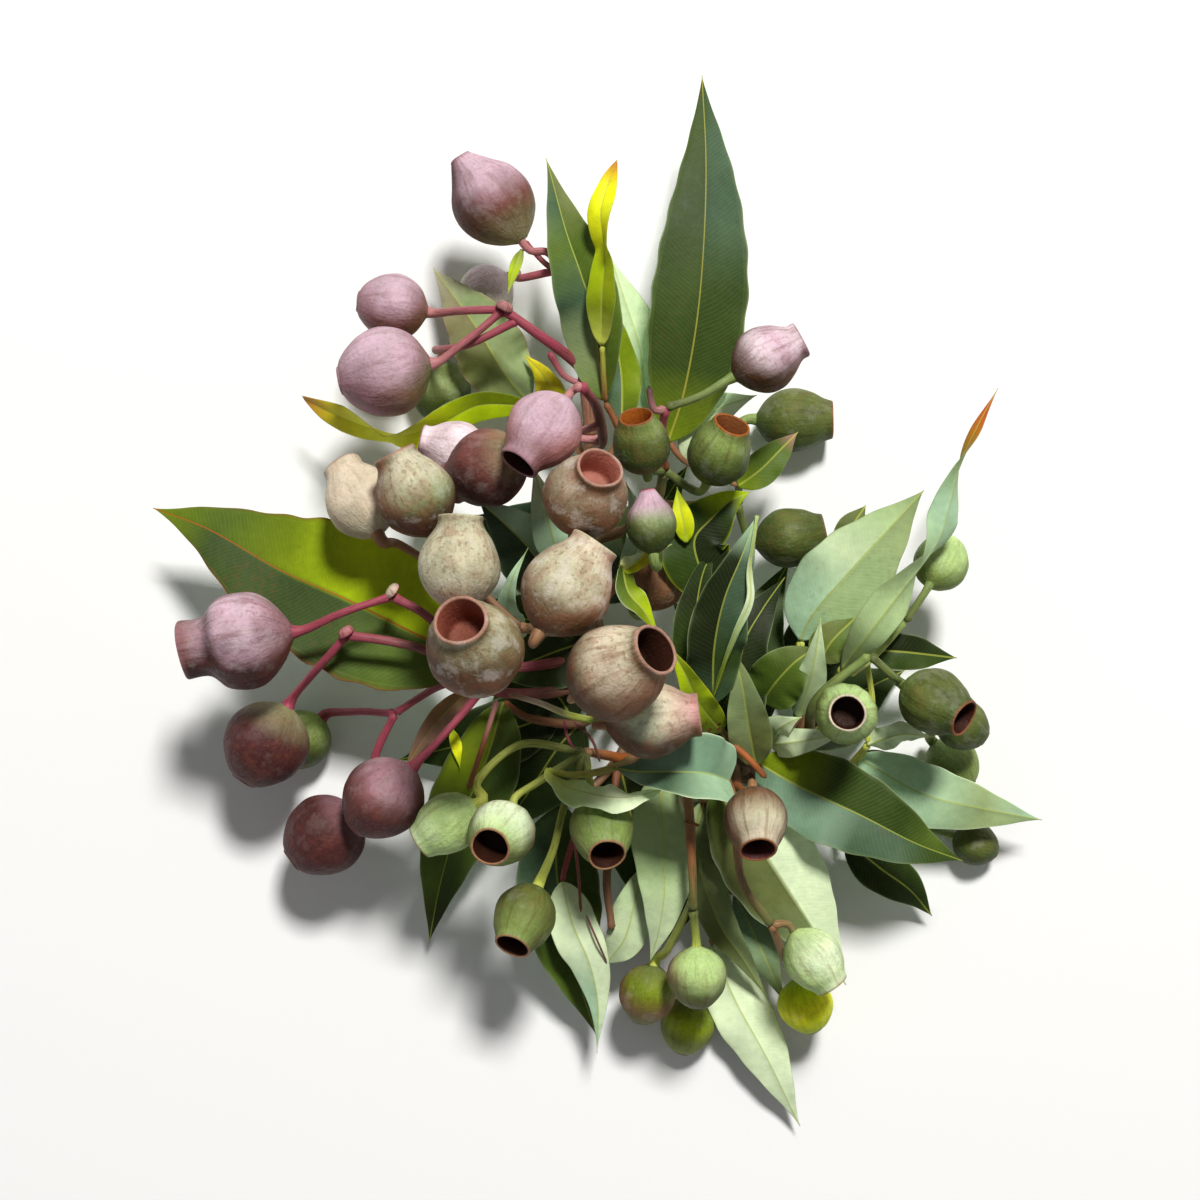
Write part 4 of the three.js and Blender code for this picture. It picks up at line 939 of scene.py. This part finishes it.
        # Painted light: one half is painted in shaded olive and sage, the other in sunlit milk.
        leaf([[712, 790, 33], [748, 830, 39], [785, 885, 36], [820, 940, 27], [846, 985, 18]], 34, [180], 7,
             1, 3, tones="leafy", under="leafy/bright olive/milk olive/milk sage/milk milk", veins=0.4,
             edge="milk"),
        leaf([[704, 800, 14], [696, 850, 26], [718, 920, 29], [744, 960, 26], [768, 998, 20]], 15,
             [180, 170], under="sage sage olive/sage sage"),
        leaf([[735, 895, 21], [757, 940, 19], [785, 1003, 10]], 12, [10], tones="glaucous sage"),
        leaf([[712, 945, 13], [735, 1000, 15], [768, 1060, 14], [800, 1126, 7]], 21, [180, 170], 8, 1.2,
             under="pale milk milk milk"),
        inner_leaf([[704, 800, 14], [690, 845, 13], [680, 895, 12], [670, 945, 8]], 26, 6, 1),
    ]),
    "twig_bottom": ("leaf", [
        limb([[636, 719, 9.3], [618, 758, 13], [590, 790, 18], [562, 805, 24]], [2.2, 1.1], "bark cane"),
        limb([[618, 758, 13], [640, 764, 20], [660, 770, 28]], [1.4, 1]),
        limb([[590, 790, 18], [570, 850, 30], [562, 882, 32]], [1.2, 0.9], "rust rose"),
        limb([[660, 770, 28], [650, 820, 27], [641, 868, 27]], [1.1, 0.9]),
        limb([[618, 758, 13], [612, 830, 24], [607, 880, 29], [612, 930, 30]], [1.6, 1.3],
             "rust cocoa umber umber"),
    ], [
        leaf([[562, 805, 24], [556, 860, 24], [565, 930, 22], [580, 985, 16], [596, 1035, 10]], 29, [0, 10],
             8, 1.4, 3, tones="deep deep/bluish leafy/deep bluish/leafy leafy"),
        leaf([[562, 882, 32], [573, 925, 34], [590, 965, 32], [598, 1005, 27], [597, 1053, 22]], 17, [175],
             8, 0.8, 2, [0.6, 1.6], under="pale milk mint/milk mint"),
        leaf([[660, 770, 28], [662, 820, 38], [665, 880, 42], [660, 925, 38], [650, 962, 30]], 22, [180],
             under="sage celadon celadon pale milk", veins=0.8),
        leaf([[641, 868, 27], [634, 905, 30], [625, 938, 28], [607, 963, 22]], 15, [180], powers=[0.9, 0.8],
             under="celadon pale pale"),
        inner_leaf([[618, 758, 13], [628, 800, 8], [636, 850, 5], [640, 910, 4]], 30),
    ]),
    "twig_lower_middle": ("pale_leaf", [
        limb([[650, 728, 8], [640, 752, 34], [612, 768, 56], [575, 775, 61], [546, 770, 60]], [2, 1],
             "bark cane lemon"),
    ], [
        leaf([[546, 770, 60], [565, 786, 66], [585, 793, 70], [612, 798, 73], [637, 797, 72],
             [661, 790, 67]], 12, [235, 220, 235], 8, 1.4, 3, [0.6, 0.8], tones="milk",
             under="lemon fresh milk milk", edge="milk"),
        leaf([[612, 768, 56], [640, 772, 67], [678, 772, 75], [708, 774, 73], [730, 781, 60]], 26, [24], 26,
             1.5, 3, [1.5, 0.5], tones="bluish bluish/glaucous glaucous/bluish glaucous/mint mint",
             veins=0.8, edge="milk"),
    ]),
    "twig_lower_left": ("leaf", [
        limb([[613, 692, 12], [583, 722, 14], [535, 720, 20], [503, 702, 25]], [2, 1.2], "bark rust"),
    ], [
        leaf([[503, 702, 25], [486, 760, 28], [456, 830, 24], [440, 885, 18], [429, 943, 10]], 27,
             [10, 0, -5], 8, 1.2, tones="leafy deep/bright leafy/deep deep/leafy night"),
        inner_leaf([[583, 722, 14], [560, 745, 11], [530, 790, 8], [500, 835, 5]], 30),
        inner_leaf([[575, 722, 15], [550, 690, 13], [515, 702, 10], [480, 732, 7]], 22),
    ]),
}

# %% [markdown]
# Some bits are too thin or small for the imported solids: a few thread-like red stalks, bud scars, a
# bract and the curled edge of one leaf. A few leaves deep inside, dark with painted shade, and some
# small lime or pale ones are shown only here as well; two narrow lime ones paint a sunlit patch on
# the leaf under them. Each is made with the piece that it grows from.

# %% Bits shown only here
SMALL_LIMBS = {
    "twig_lower_middle": [
        limb([[564, 720, 44], [570, 742, 46], [588, 763, 42]], [0.55, 0.5], "rose maroon"),
        limb([[574, 722, 44], [592, 740, 46], [600, 762, 42]], [0.5, 0.45], "maroon"),
        limb([[497, 700, 58], [484, 742, 62], [468, 790, 60]], [1, 0.8], "pink rust rust"),
        limb([[730, 742, 44], [748, 758, 47], [766, 778, 46]], [1.2, 1], "rust amber rust"),
    ],
    "twig_bottom": [
        limb([[574, 812, 40], [576, 850, 38], [581, 912, 35]], [0.6, 0.5], "rose rust"),
        limb([[586, 915, 36], [597, 940, 36], [607, 963, 32]], [0.4, 0.35], "maroon"),
    ],
    "nuts_top_left": [
        limb([[562, 274, 41], [546, 264, 43], [524, 240, 45]], [1, 0.9], "maroon rose"),
        limb([[503, 310, 57], [507, 302, 58]], [2.3, 1.6], "maroon pink"),
        limb([[549, 352, 50], [562, 374, 46], [580, 384, 43]], [1.1, 1], "rose pink"),
    ],
    "nuts_left": [
        limb([[395, 592, 66], [389, 588, 67]], [2.2, 1.6], "pink cream"),
        limb([[348, 635, 61], [343, 628, 62]], [2.1, 1.6], "rose pink"),
    ],
    "nuts_bottom": [
        limb([[692, 824, 54], [687, 810, 53], [680, 796, 51]], [1.1, 0.9], "cane cream"),
        limb([[692, 826, 54], [693, 822, 54]], [2.0, 2.0], "rust"),
    ],
}
SMALL_LEAVES = {
    "twig_right_of_middle": [
        leaf([[757, 516, 70], [750, 567, 76], [750, 600, 77], [736, 632, 74], [725, 662, 68],
             [713, 698, 60]], 2.6, [20, 40, 10, 30, 50, 20], 0, 0.3, 2, [0.5, 0.5],
             tones="celadon sage milk celadon bright leafy"),
    ],
    "twig_middle": [
        leaf([[590, 560, 26], [560, 545, 34], [515, 530, 38], [474, 515, 34]], 30,
             tones="night bluish/night bluish night"),
        leaf([[520, 640, 30], [508, 610, 60], [512, 580, 72], [528, 548, 74]], 9, [10], 8, 0.8,
             tones="mint", edge="milk"),
        inner_leaf([[592, 640, 20], [560, 650, 24], [520, 665, 22], [490, 672, 18]], 26, 8, 1),
        # A narrow lime strip, made as a small leaf, that paints a sunlit patch on the leaf under it.
        leaf([[686, 542, 62], [684, 524, 64], [680, 506, 64], [677, 487, 62]], 7, [0], 6, 0.3,
             tones="lime sun lime"),
        leaf([[622, 573, 74], [642, 560, 76], [658, 551, 76], [672, 544, 74]], 5, [10], 6, 0.5, 3,
             tones="lime gold pale"),
    ],
    "twig_lower_left": [
        inner_leaf([[560, 712, 12], [510, 730, 12], [460, 745, 12], [398, 760, 8]], 24, 6, 1),
        leaf([[470, 690, 22], [446, 712, 26], [424, 738, 26], [404, 770, 22]], 9, [20], 10, 0.8,
             tones="cane blush/cane blush cane", veins=0.3),
        # A narrow lime strip, made as a small leaf, that paints a sunlit patch on the leaf under it.
        leaf([[452, 730, 30], [456, 745, 32], [460, 768, 31]], 4, [10], 6, 0.3, tones="lime sun lime",
             veins=0.2),
    ],
    "twig_upper_left": [
        leaf([[522, 250, 44], [514, 270, 46], [508, 294, 48]], 4, wave=0.3, tones="olive lime bright"),
    ],
}

SEEDS_A_NODE = 100
WOOD_SEED = 50
for number, (node, (slot, limbs, leaves)) in enumerate(TWIGS.items()):
    seed = SEEDS_A_NODE * number
    leaves = leaves + SMALL_LEAVES.get(node, [])
    limbs = limbs + SMALL_LIMBS.get(node, [])
    blades = [leaf_skin(row, seed + i) for i, row in enumerate(leaves)]
    wood = [limb_skin(row, seed + WOOD_SEED + i) for i, row in enumerate(limbs)]
    piece(node + "_leaves", blades, LEAF, node)
    piece(node + "_wood", wood, STALK, node)

# %% [markdown]
# The bunches of nuts. The purple ones ripen in the sun at the left and the top, the khaki ones
# stand highest in the middle, and the green ones are the youngest, at the right and the bottom.

# %% Bunches of nuts
BUNCHES = {
    "nuts_top_left": ("purple_nut", "rose pink", [
        limb([[590, 436, 39], [588, 410, 42], [584, 385, 43], [577, 365, 44], [540, 335, 53],
             [503, 310, 56]], [2.1, 1.6], "cane maroon rose rose"),
        limb([[577, 365, 44], [576, 318, 41], [560, 270, 41]], [1.5, 1.2], "rose pink pink"),
    ], [
        nut([494, 203, 45], 27.2, 127, 0, "beaked", [[560, 270, 42], [548, 253, 44]],
            "khaki/moss brown/maroon plum/lilac plum/lilac", "mauve", "cocoa", (7, 0.012), 0.7, 0.2, 0.4),
        nut([396, 307, 42], 23.3, 172, 5, "blunt", [[503, 310, 56], [470, 310, 52]],
            "umber/mauve maroon/lilac maroon/lilac mauve/mauve", "mauve", "cocoa", (7, 0.01), 0.6),
        nut([389, 371, 55], 30.2, 192, 5, "blunt", [[503, 310, 56], [470, 338, 56]],
            "moss/mauve umber/lilac mauve/lilac mauve/lilac", "mauve", streaks=0.6),
        # This low nut lies in shade among the leaves and is painted in pale sunlit tones.
        nut([488, 291, 12], 20, 210, -10, "blunt", [[560, 270, 42], [520, 278, 36]],
            "lilac/frost milk/frost lilac", "mauve"),
        nut([440, 387, 10.6], 21.3, 265, -5, "blunt", [[518, 320, 55], [470, 344, 52], [436, 350, 34]],
            "moss/apple bottle/sage bottle", "moss"),
    ]),
    "nuts_upper_left": ("purple_nut", "pink pink", [
        limb([[591, 452, 36], [602, 440, 52], [598, 410, 72], [582, 386, 93]], [1.9, 1.5],
             "cane maroon maroon rose"),
    ], [
        nut([545, 428, 95], 23.8, 235, 20, "urn", [[582, 386, 93]],
            "mauve/lilac pink/lilac pink/lilac maroon/mauve", "mauve"),
        nut([490, 467, 74], 25.3, 200, -30, "urn", [[600, 425, 62], [552, 440, 70]],
            "plum/khaki plum/maroon plum/maroon maroon/mauve", "pink", scurf=0.8),
        nut([458, 450, 50], 20, 165, 0, "urn", [[602, 440, 52], [540, 438, 48], [505, 446, 48]],
            "frost frost mauve/frost", "mauve"),
    ]),
    "nuts_left": ("purple_nut", "rose rose", [
        limb([[604, 672, 13.5], [560, 690, 24], [510, 694, 38], [476, 686, 48]], [2.2, 1.7],
             "cane maroon rose"),
        limb([[476, 686, 48], [452, 640, 58], [425, 615, 63], [392, 596, 65]], [1.6, 1.5],
             "rose maroon rose"),
        limb([[470, 680, 50], [420, 648, 58], [347, 635, 60]], [1.6, 1.5], "rose maroon rose"),
        limb([[476, 686, 48], [440, 686, 42], [395, 713, 36]], [1.5, 1.3], "maroon rose"),
    ], [
        nut([243, 640, 63], 31.5, 190, 0, "collared", [[392, 596, 65], [340, 614, 66]],
            "maroon/mauve plum/lilac plum/lilac cocoa/maroon", "mauve", "cocoa", (8, 0.035), 0.9, 0.3, 0.6),
        nut([268, 740, 36], 29, 239, -5, "blunt", [[347, 635, 60], [318, 668, 52]],
            "khaki/khaki plum/plum plum/plum plum/maroon", "maroon", bloom=0.1, scurf=0.7),
        nut([303, 738, 10.6], 21.3, 225, -5, "blunt", [[395, 713, 36], [350, 712, 22]],
            "moss/apple bottle/moss moss", "moss"),
        nut([386, 795, 50], 27.7, 226, 0, "blunt", [[482, 690, 46], [450, 728, 48]],
            "maroon/mauve plum/mauve plum/maroon plum", "maroon", scurf=0.7),
        nut([328, 833, 30], 27.7, 217, 0, "blunt", [[395, 713, 36], [374, 760, 32]],
            "plum/mauve plum/plum plum/plum plum/plum", "maroon", bloom=0.1, scurf=0.5),
    ]),
    "nuts_middle_left": ("khaki_nut", "umber cane", [
        limb([[595, 630, 16.5], [560, 630, 45], [520, 628, 72]], [2, 1.6], "bark cane"),
    ], [
        nut([475, 650, 125], 29.8, 111, 59, "urn", [[520, 628, 72], [492, 672, 88]],
            "umber/khaki umber/khaki brown/khaki khaki/straw", "blush", "clay", bloom=0.7, scurf=1.0),
        nut([459, 568, 95], 26, 88, 0, "urn", [[520, 628, 72], [476, 628, 84]],
            "blush straw straw khaki/straw", "straw", bloom=0.4, scurf=1.0),
        nut([417, 498, 86], 25.1, 117, 6, "urn", [[520, 628, 72], [470, 580, 70]],
            "brown/khaki brown/sage umber/straw umber/straw", "blush", bloom=0.5, scurf=1.0),
        nut([362, 503, 64], 24, 120, -20, "urn", [[520, 628, 72], [440, 570, 64], [400, 545, 62]],
            "straw/cream cream cream", "blush"),
    ]),
    "nuts_middle": ("khaki_nut", "umber cane", [
        limb([[592, 580, 20], [575, 590, 48], [570, 600, 76]], [2, 1.6], "bark cane"),
    ], [
        nut([565, 592, 111], 27.9, 58, -5, "urn", [[570, 600, 76], [545, 632, 98]],
            "umber/khaki umber/straw blush/straw blush/cream", "straw", bloom=0.8, scurf=1.0),
        nut([585, 498, 103], 26.3, 61, 54, "urn", [[573, 596, 60], [572, 535, 76]],
            "umber/khaki umber/blush umber/straw umber/blush", "blush", "terra", bloom=0.8, scurf=1.0),
    ]),
    "nuts_middle_right": ("khaki_nut", "umber cane", [
        limb([[624, 705, 10.5], [612, 706, 40], [592, 700, 74]], [2, 1.6], "bark cane"),
        limb([[614, 712, 36], [600, 721, 46], [570, 715, 54], [540, 703, 58], [508, 694, 60]], [1.4, 0.9],
             "moss apple lemon cream rust"),
    ], [
        nut([614, 674, 120], 30, 32, 40, "urn", [[592, 700, 74], [586, 694, 92]],
            "brown brown/khaki umber/cream umber/straw", "blush", "cocoa", (0, 0), 0.9, 0.15, 1.0),
        nut([648, 720, 90], 25.5, 6, 0, "urn", [[592, 700, 74], [606, 722, 84]],
            "brown/cream brown/milk brown/cream umber/pink", "blush", scurf=0.8),
    ]),
    "nuts_upper_right": ("green_nut", "moss apple", [
        limb([[591, 540, 23], [625, 530, 36], [655, 505, 50], [664, 470, 62]], [2, 1.6], "bark cane moss"),
        limb([[664, 470, 62], [662, 430, 74], [666, 408, 80]], [1.6, 1.4], "rust rose"),
        limb([[655, 505, 50], [700, 505, 44], [738, 505, 36]], [1.6, 1.2], "cane moss"),
        limb([[666, 408, 80], [655, 410, 81], [650, 398, 82], [649, 386, 82]], [1.3, 0.9], "pink cocoa"),
    ], [
        nut([642, 447, 85], 18.3, 102, 36, "barrel", [[664, 470, 62], [648, 472, 70]],
            "umber/moss bottle/moss bottle/moss moss/apple", "rust", "amber", scurf=0.5),
        nut([651, 525, 87], 16.2, 95, 0, "beaked", [[655, 505, 50], [658, 540, 64], [658, 566, 80]],
            "bottle/moss bottle/moss bottle/sage mauve/lilac lilac", "rose"),
        nut([656, 581, 46], 20, 65, 10, "urn", [[625, 530, 36], [630, 600, 38]], "umber umber umber",
            "umber"),
        nut([718, 456, 75], 20.2, 67, 35, "barrel", [[664, 470, 62], [694, 490, 60]],
            "bottle/moss bottle/moss bottle/apple moss/apple", "amber", "rust", (14, 0.012), 0.8),
        nut([764, 360, 72], 21.4, 29, 0, "urn", [[666, 408, 80], [700, 396, 76]],
            "brown/mauve brown/frost brown/lilac mauve/frost", "mauve", "cocoa", (6, 0.035), 0.9, 0.2, 0.6),
        nut([790, 420, 11.3], 23, 0, 0, "barrel", [[738, 505, 36], [742, 430, 14]],
            "bottle/moss bottle/moss bottle/moss", "rust", "cocoa", (14, 0.01), 0.7),
        nut([786, 538, 28], 21, 10, 0, "barrel", [[738, 505, 36], [745, 535, 28]],
            "bottle bottle/moss bottle", "umber"),
    ]),
    "nuts_right": ("green_nut", "moss apple", [
        limb([[806, 793, 4.2], [808, 750, 34], [817, 700, 58], [870, 655, 63]], [2.1, 1.5],
             "bark amber moss apple"),
        limb([[850, 673, 61], [874, 656, 48], [905, 622, 42]], [1.4, 1.2], "lemon apple"),
    ], [
        nut([940, 565, 38], 19.3, 58, -25, "blunt", [[905, 622, 42]], "apple/fresh apple/fresh fresh",
            "apple", "cocoa", (12, 0.01), 0.6),
        nut([846, 714, 75], 20.2, 135, 84, "barrel", [[817, 700, 58], [836, 706, 57]],
            "moss/apple moss/apple apple/fresh fresh/fresh", ribs=(12, 0.015), streaks=0.7),
        nut([931, 700, 60], 21.6, 330, 35, "barrel", [[870, 655, 63], [892, 676, 60]],
            "apple/apple bottle/moss bottle/moss bottle", "rust", "cocoa", (12, 0.02), 0.8),
        nut([960, 724, 32], 18, 330, -5, "blunt", [[888, 672, 58], [925, 700, 42]],
            "bottle/moss bottle/moss bottle", "moss"),
        nut([950, 762, 9.4], 19.5, 310, -5, "blunt", [[870, 655, 63], [905, 690, 44], [930, 730, 22]],
            "apple/fresh apple apple", "moss"),
    ]),
    "nut_far_right": ("green_nut", "apple apple", [
        limb([[880, 825, 4], [920, 826, 10]], [1.6, 1.4], "bark moss"),
    ], [
        nut([973, 843, 8], 16, 340, 0, "blunt", [[920, 826, 10]], "bottle/moss bottle/moss bottle", "moss"),
    ]),
    "nuts_lower_middle": ("green_nut", "moss lemon", [
        limb([[668, 738, 7.1], [632, 758, 14], [603, 754, 30], [585, 752, 44]], [2, 1.5],
             "bark amber cane"),
    ], [
        nut([502, 832, 72], 21.7, 227, 70, "barrel", [[585, 752, 44], [545, 778, 50], [515, 797, 56]],
            "umber/fresh umber/milk moss/milk apple/fresh", "cane", "cocoa", (12, 0.01), 0.6),
        nut([451, 821, 60], 20, 215, -8, "barrel", [[585, 752, 44], [520, 745, 50], [478, 780, 58]],
            "apple/fresh fresh fresh/milk", "cane", "cocoa", (12, 0.01), 0.6),
        nut([526, 914, 55], 20.8, 246, 38, "barrel", [[585, 752, 44], [566, 800, 50], [553, 850, 52]],
            "moss moss moss/apple", "cane", "cocoa", (12, 0.01), 0.6),
        nut([601, 827, 62], 21.5, 284, 53, "barrel", [[585, 752, 44], [592, 795, 46]],
            "olive/moss moss/apple olive/apple apple", "cane", "cocoa", (12, 0.01), 0.6),
    ]),
    "nut_lower_right": ("green_nut", "amber cane", [
        limb([[735, 766, 5], [737, 783, 30], [748, 798, 60]], [1.9, 1.4], "bark amber"),
    ], [
        nut([755, 817, 85], 20.3, 272, 42, "barrel", [[748, 798, 60]],
            "brown brown/umber brown/straw umber/cream", "rust", "plum", (16, 0.012), 1.0, 0.1),
    ]),
    "nuts_bottom": ("green_nut", "moss lemon", [
        limb([[680, 744, 6.5], [684, 765, 36], [688, 795, 52], [693, 886, 54], [693, 910, 52]], [1.9, 1.4],
             "bark cane cane rust moss"),
    ], [
        nut([697, 974, 45], 20.4, 272, -5, "blunt", [[693, 910, 52]],
            "umber/fresh umber/fresh moss/fresh moss", "moss", "cocoa", (10, 0.01), 0.6),
        nut([648, 991, 25], 20.2, 256, -5, "blunt", [[693, 900, 53], [668, 948, 36]],
            "umber/olive umber/bright umber/bright olive", "olive"),
        nut([688, 1022, 9.8], 19.9, 258, -5, "blunt", [[693, 910, 52], [697, 965, 27]],
            "umber/moss olive/lime bright", "umber"),
    ]),
    "nuts_bottom_right": ("green_nut", "cane moss", [
        limb([[716, 759, 5.5], [722, 772, 34], [733, 802, 53], [742, 880, 54], [772, 925, 50]], [1.9, 1.4],
             "bark rust cane moss"),
    ], [
        nut([811, 956, 47], 19.4, 306, 0, "barrel", [[772, 925, 50]], "apple/fresh fresh/milk fresh/milk",
            "cane", "cocoa", (12, 0.015), 0.7),
        nut([805, 1002, 22], 19.2, 288, -8, "blunt", [[772, 925, 50], [785, 960, 34]], "lime sun lime",
            "moss"),
    ]),
}

BUNCH_SEED = 3000
STALK_SEED = 70
for number, (node, (slot, stalk_tones, limbs, nuts)) in enumerate(BUNCHES.items()):
    seed = BUNCH_SEED + SEEDS_A_NODE * number
    limbs = limbs + SMALL_LIMBS.get(node, [])
    capsules = [nut_skin(row, seed + i) for i, row in enumerate(nuts)]
    piece(node + "_nuts", capsules, NUT, node)
    stalks = [limb_skin(row, seed + WOOD_SEED + i) for i, row in enumerate(limbs)]
    stalks += [stalk_skin(row, stalk_tones, seed + STALK_SEED + i) for i, row in enumerate(nuts)]
    piece(node + "_stalks", stalks, STALK, node)

# %% [markdown]
# The branch lies on a plain pale floor in soft studio light. The camera looks straight down from
# the height that the plan was drawn for, with the same field of view, so the plan and the picture
# agree.

# %% Floor, light and camera
FLOOR_HALF = 4.0
FLOOR_COLOUR = (0.965, 0.97, 0.98, 1.0)
FLOOR_ROUGHNESS = 0.9
SKY_COLOUR = (1.0, 0.99, 0.97, 1.0)
SKY_STRENGTH = 0.13
LIT_PLACE = Vector((0, 0, 0.05))


def floor_material():
    """Plain matt off-white."""
    made, tree, shader = material("studio_floor")
    shader.inputs["Base Color"].default_value = FLOOR_COLOUR
    shader.inputs["Roughness"].default_value = FLOOR_ROUGHNESS
    return made


floor_mesh = bpy.data.meshes.new("floor")
corners = [(-FLOOR_HALF, -FLOOR_HALF, 0), (FLOOR_HALF, -FLOOR_HALF, 0),
           (FLOOR_HALF, FLOOR_HALF, 0), (-FLOOR_HALF, FLOOR_HALF, 0)]
floor_mesh.from_pydata(corners, [], [(0, 1, 2, 3)])
floor_mesh.materials.append(floor_material())
floor = bpy.data.objects.new("floor", floor_mesh)
bpy.context.scene.collection.objects.link(floor)


def area_light(name, place, size, power, tint=(1.0, 1.0, 1.0)):
    """A square soft light at a place in metres, turned to the middle of the branch."""
    data = bpy.data.lights.new(name, "AREA")
    data.shape, data.size, data.energy, data.color = "SQUARE", size, power, tint
    made = bpy.data.objects.new(name, data)
    made.location = place
    made.rotation_euler = (LIT_PLACE - Vector(place)).to_track_quat("-Z", "Y").to_euler()
    bpy.context.scene.collection.objects.link(made)
    return made


area_light("key_light", (0.48, 1.7, 2.65), 0.5, 110.0, (1.0, 0.98, 0.94))
area_light("fill_light", (-1.3, -0.9, 1.3), 1.6, 2.0, (0.95, 0.97, 1.0))
area_light("side_light", (1.6, -0.3, 0.9), 1.4, 1.5)

world = bpy.data.worlds.new("studio")
world.use_nodes = True
world.node_tree.nodes["Background"].inputs["Color"].default_value = SKY_COLOUR
world.node_tree.nodes["Background"].inputs["Strength"].default_value = SKY_STRENGTH
bpy.context.scene.world = world
bpy.context.scene.view_settings.view_transform = "Standard"

camera_data = bpy.data.cameras.new("camera")
camera_data.sensor_width = 36.0
camera_data.lens = camera_data.sensor_width / (GRID_SIDE * GRID_UNIT / EYE_HEIGHT)
camera = bpy.data.objects.new("camera", camera_data)
camera.location = Vector(EYE * MM)
bpy.context.scene.collection.objects.link(camera)
bpy.context.scene.camera = camera
print("the lens is", round(camera_data.lens, 1), "mm")
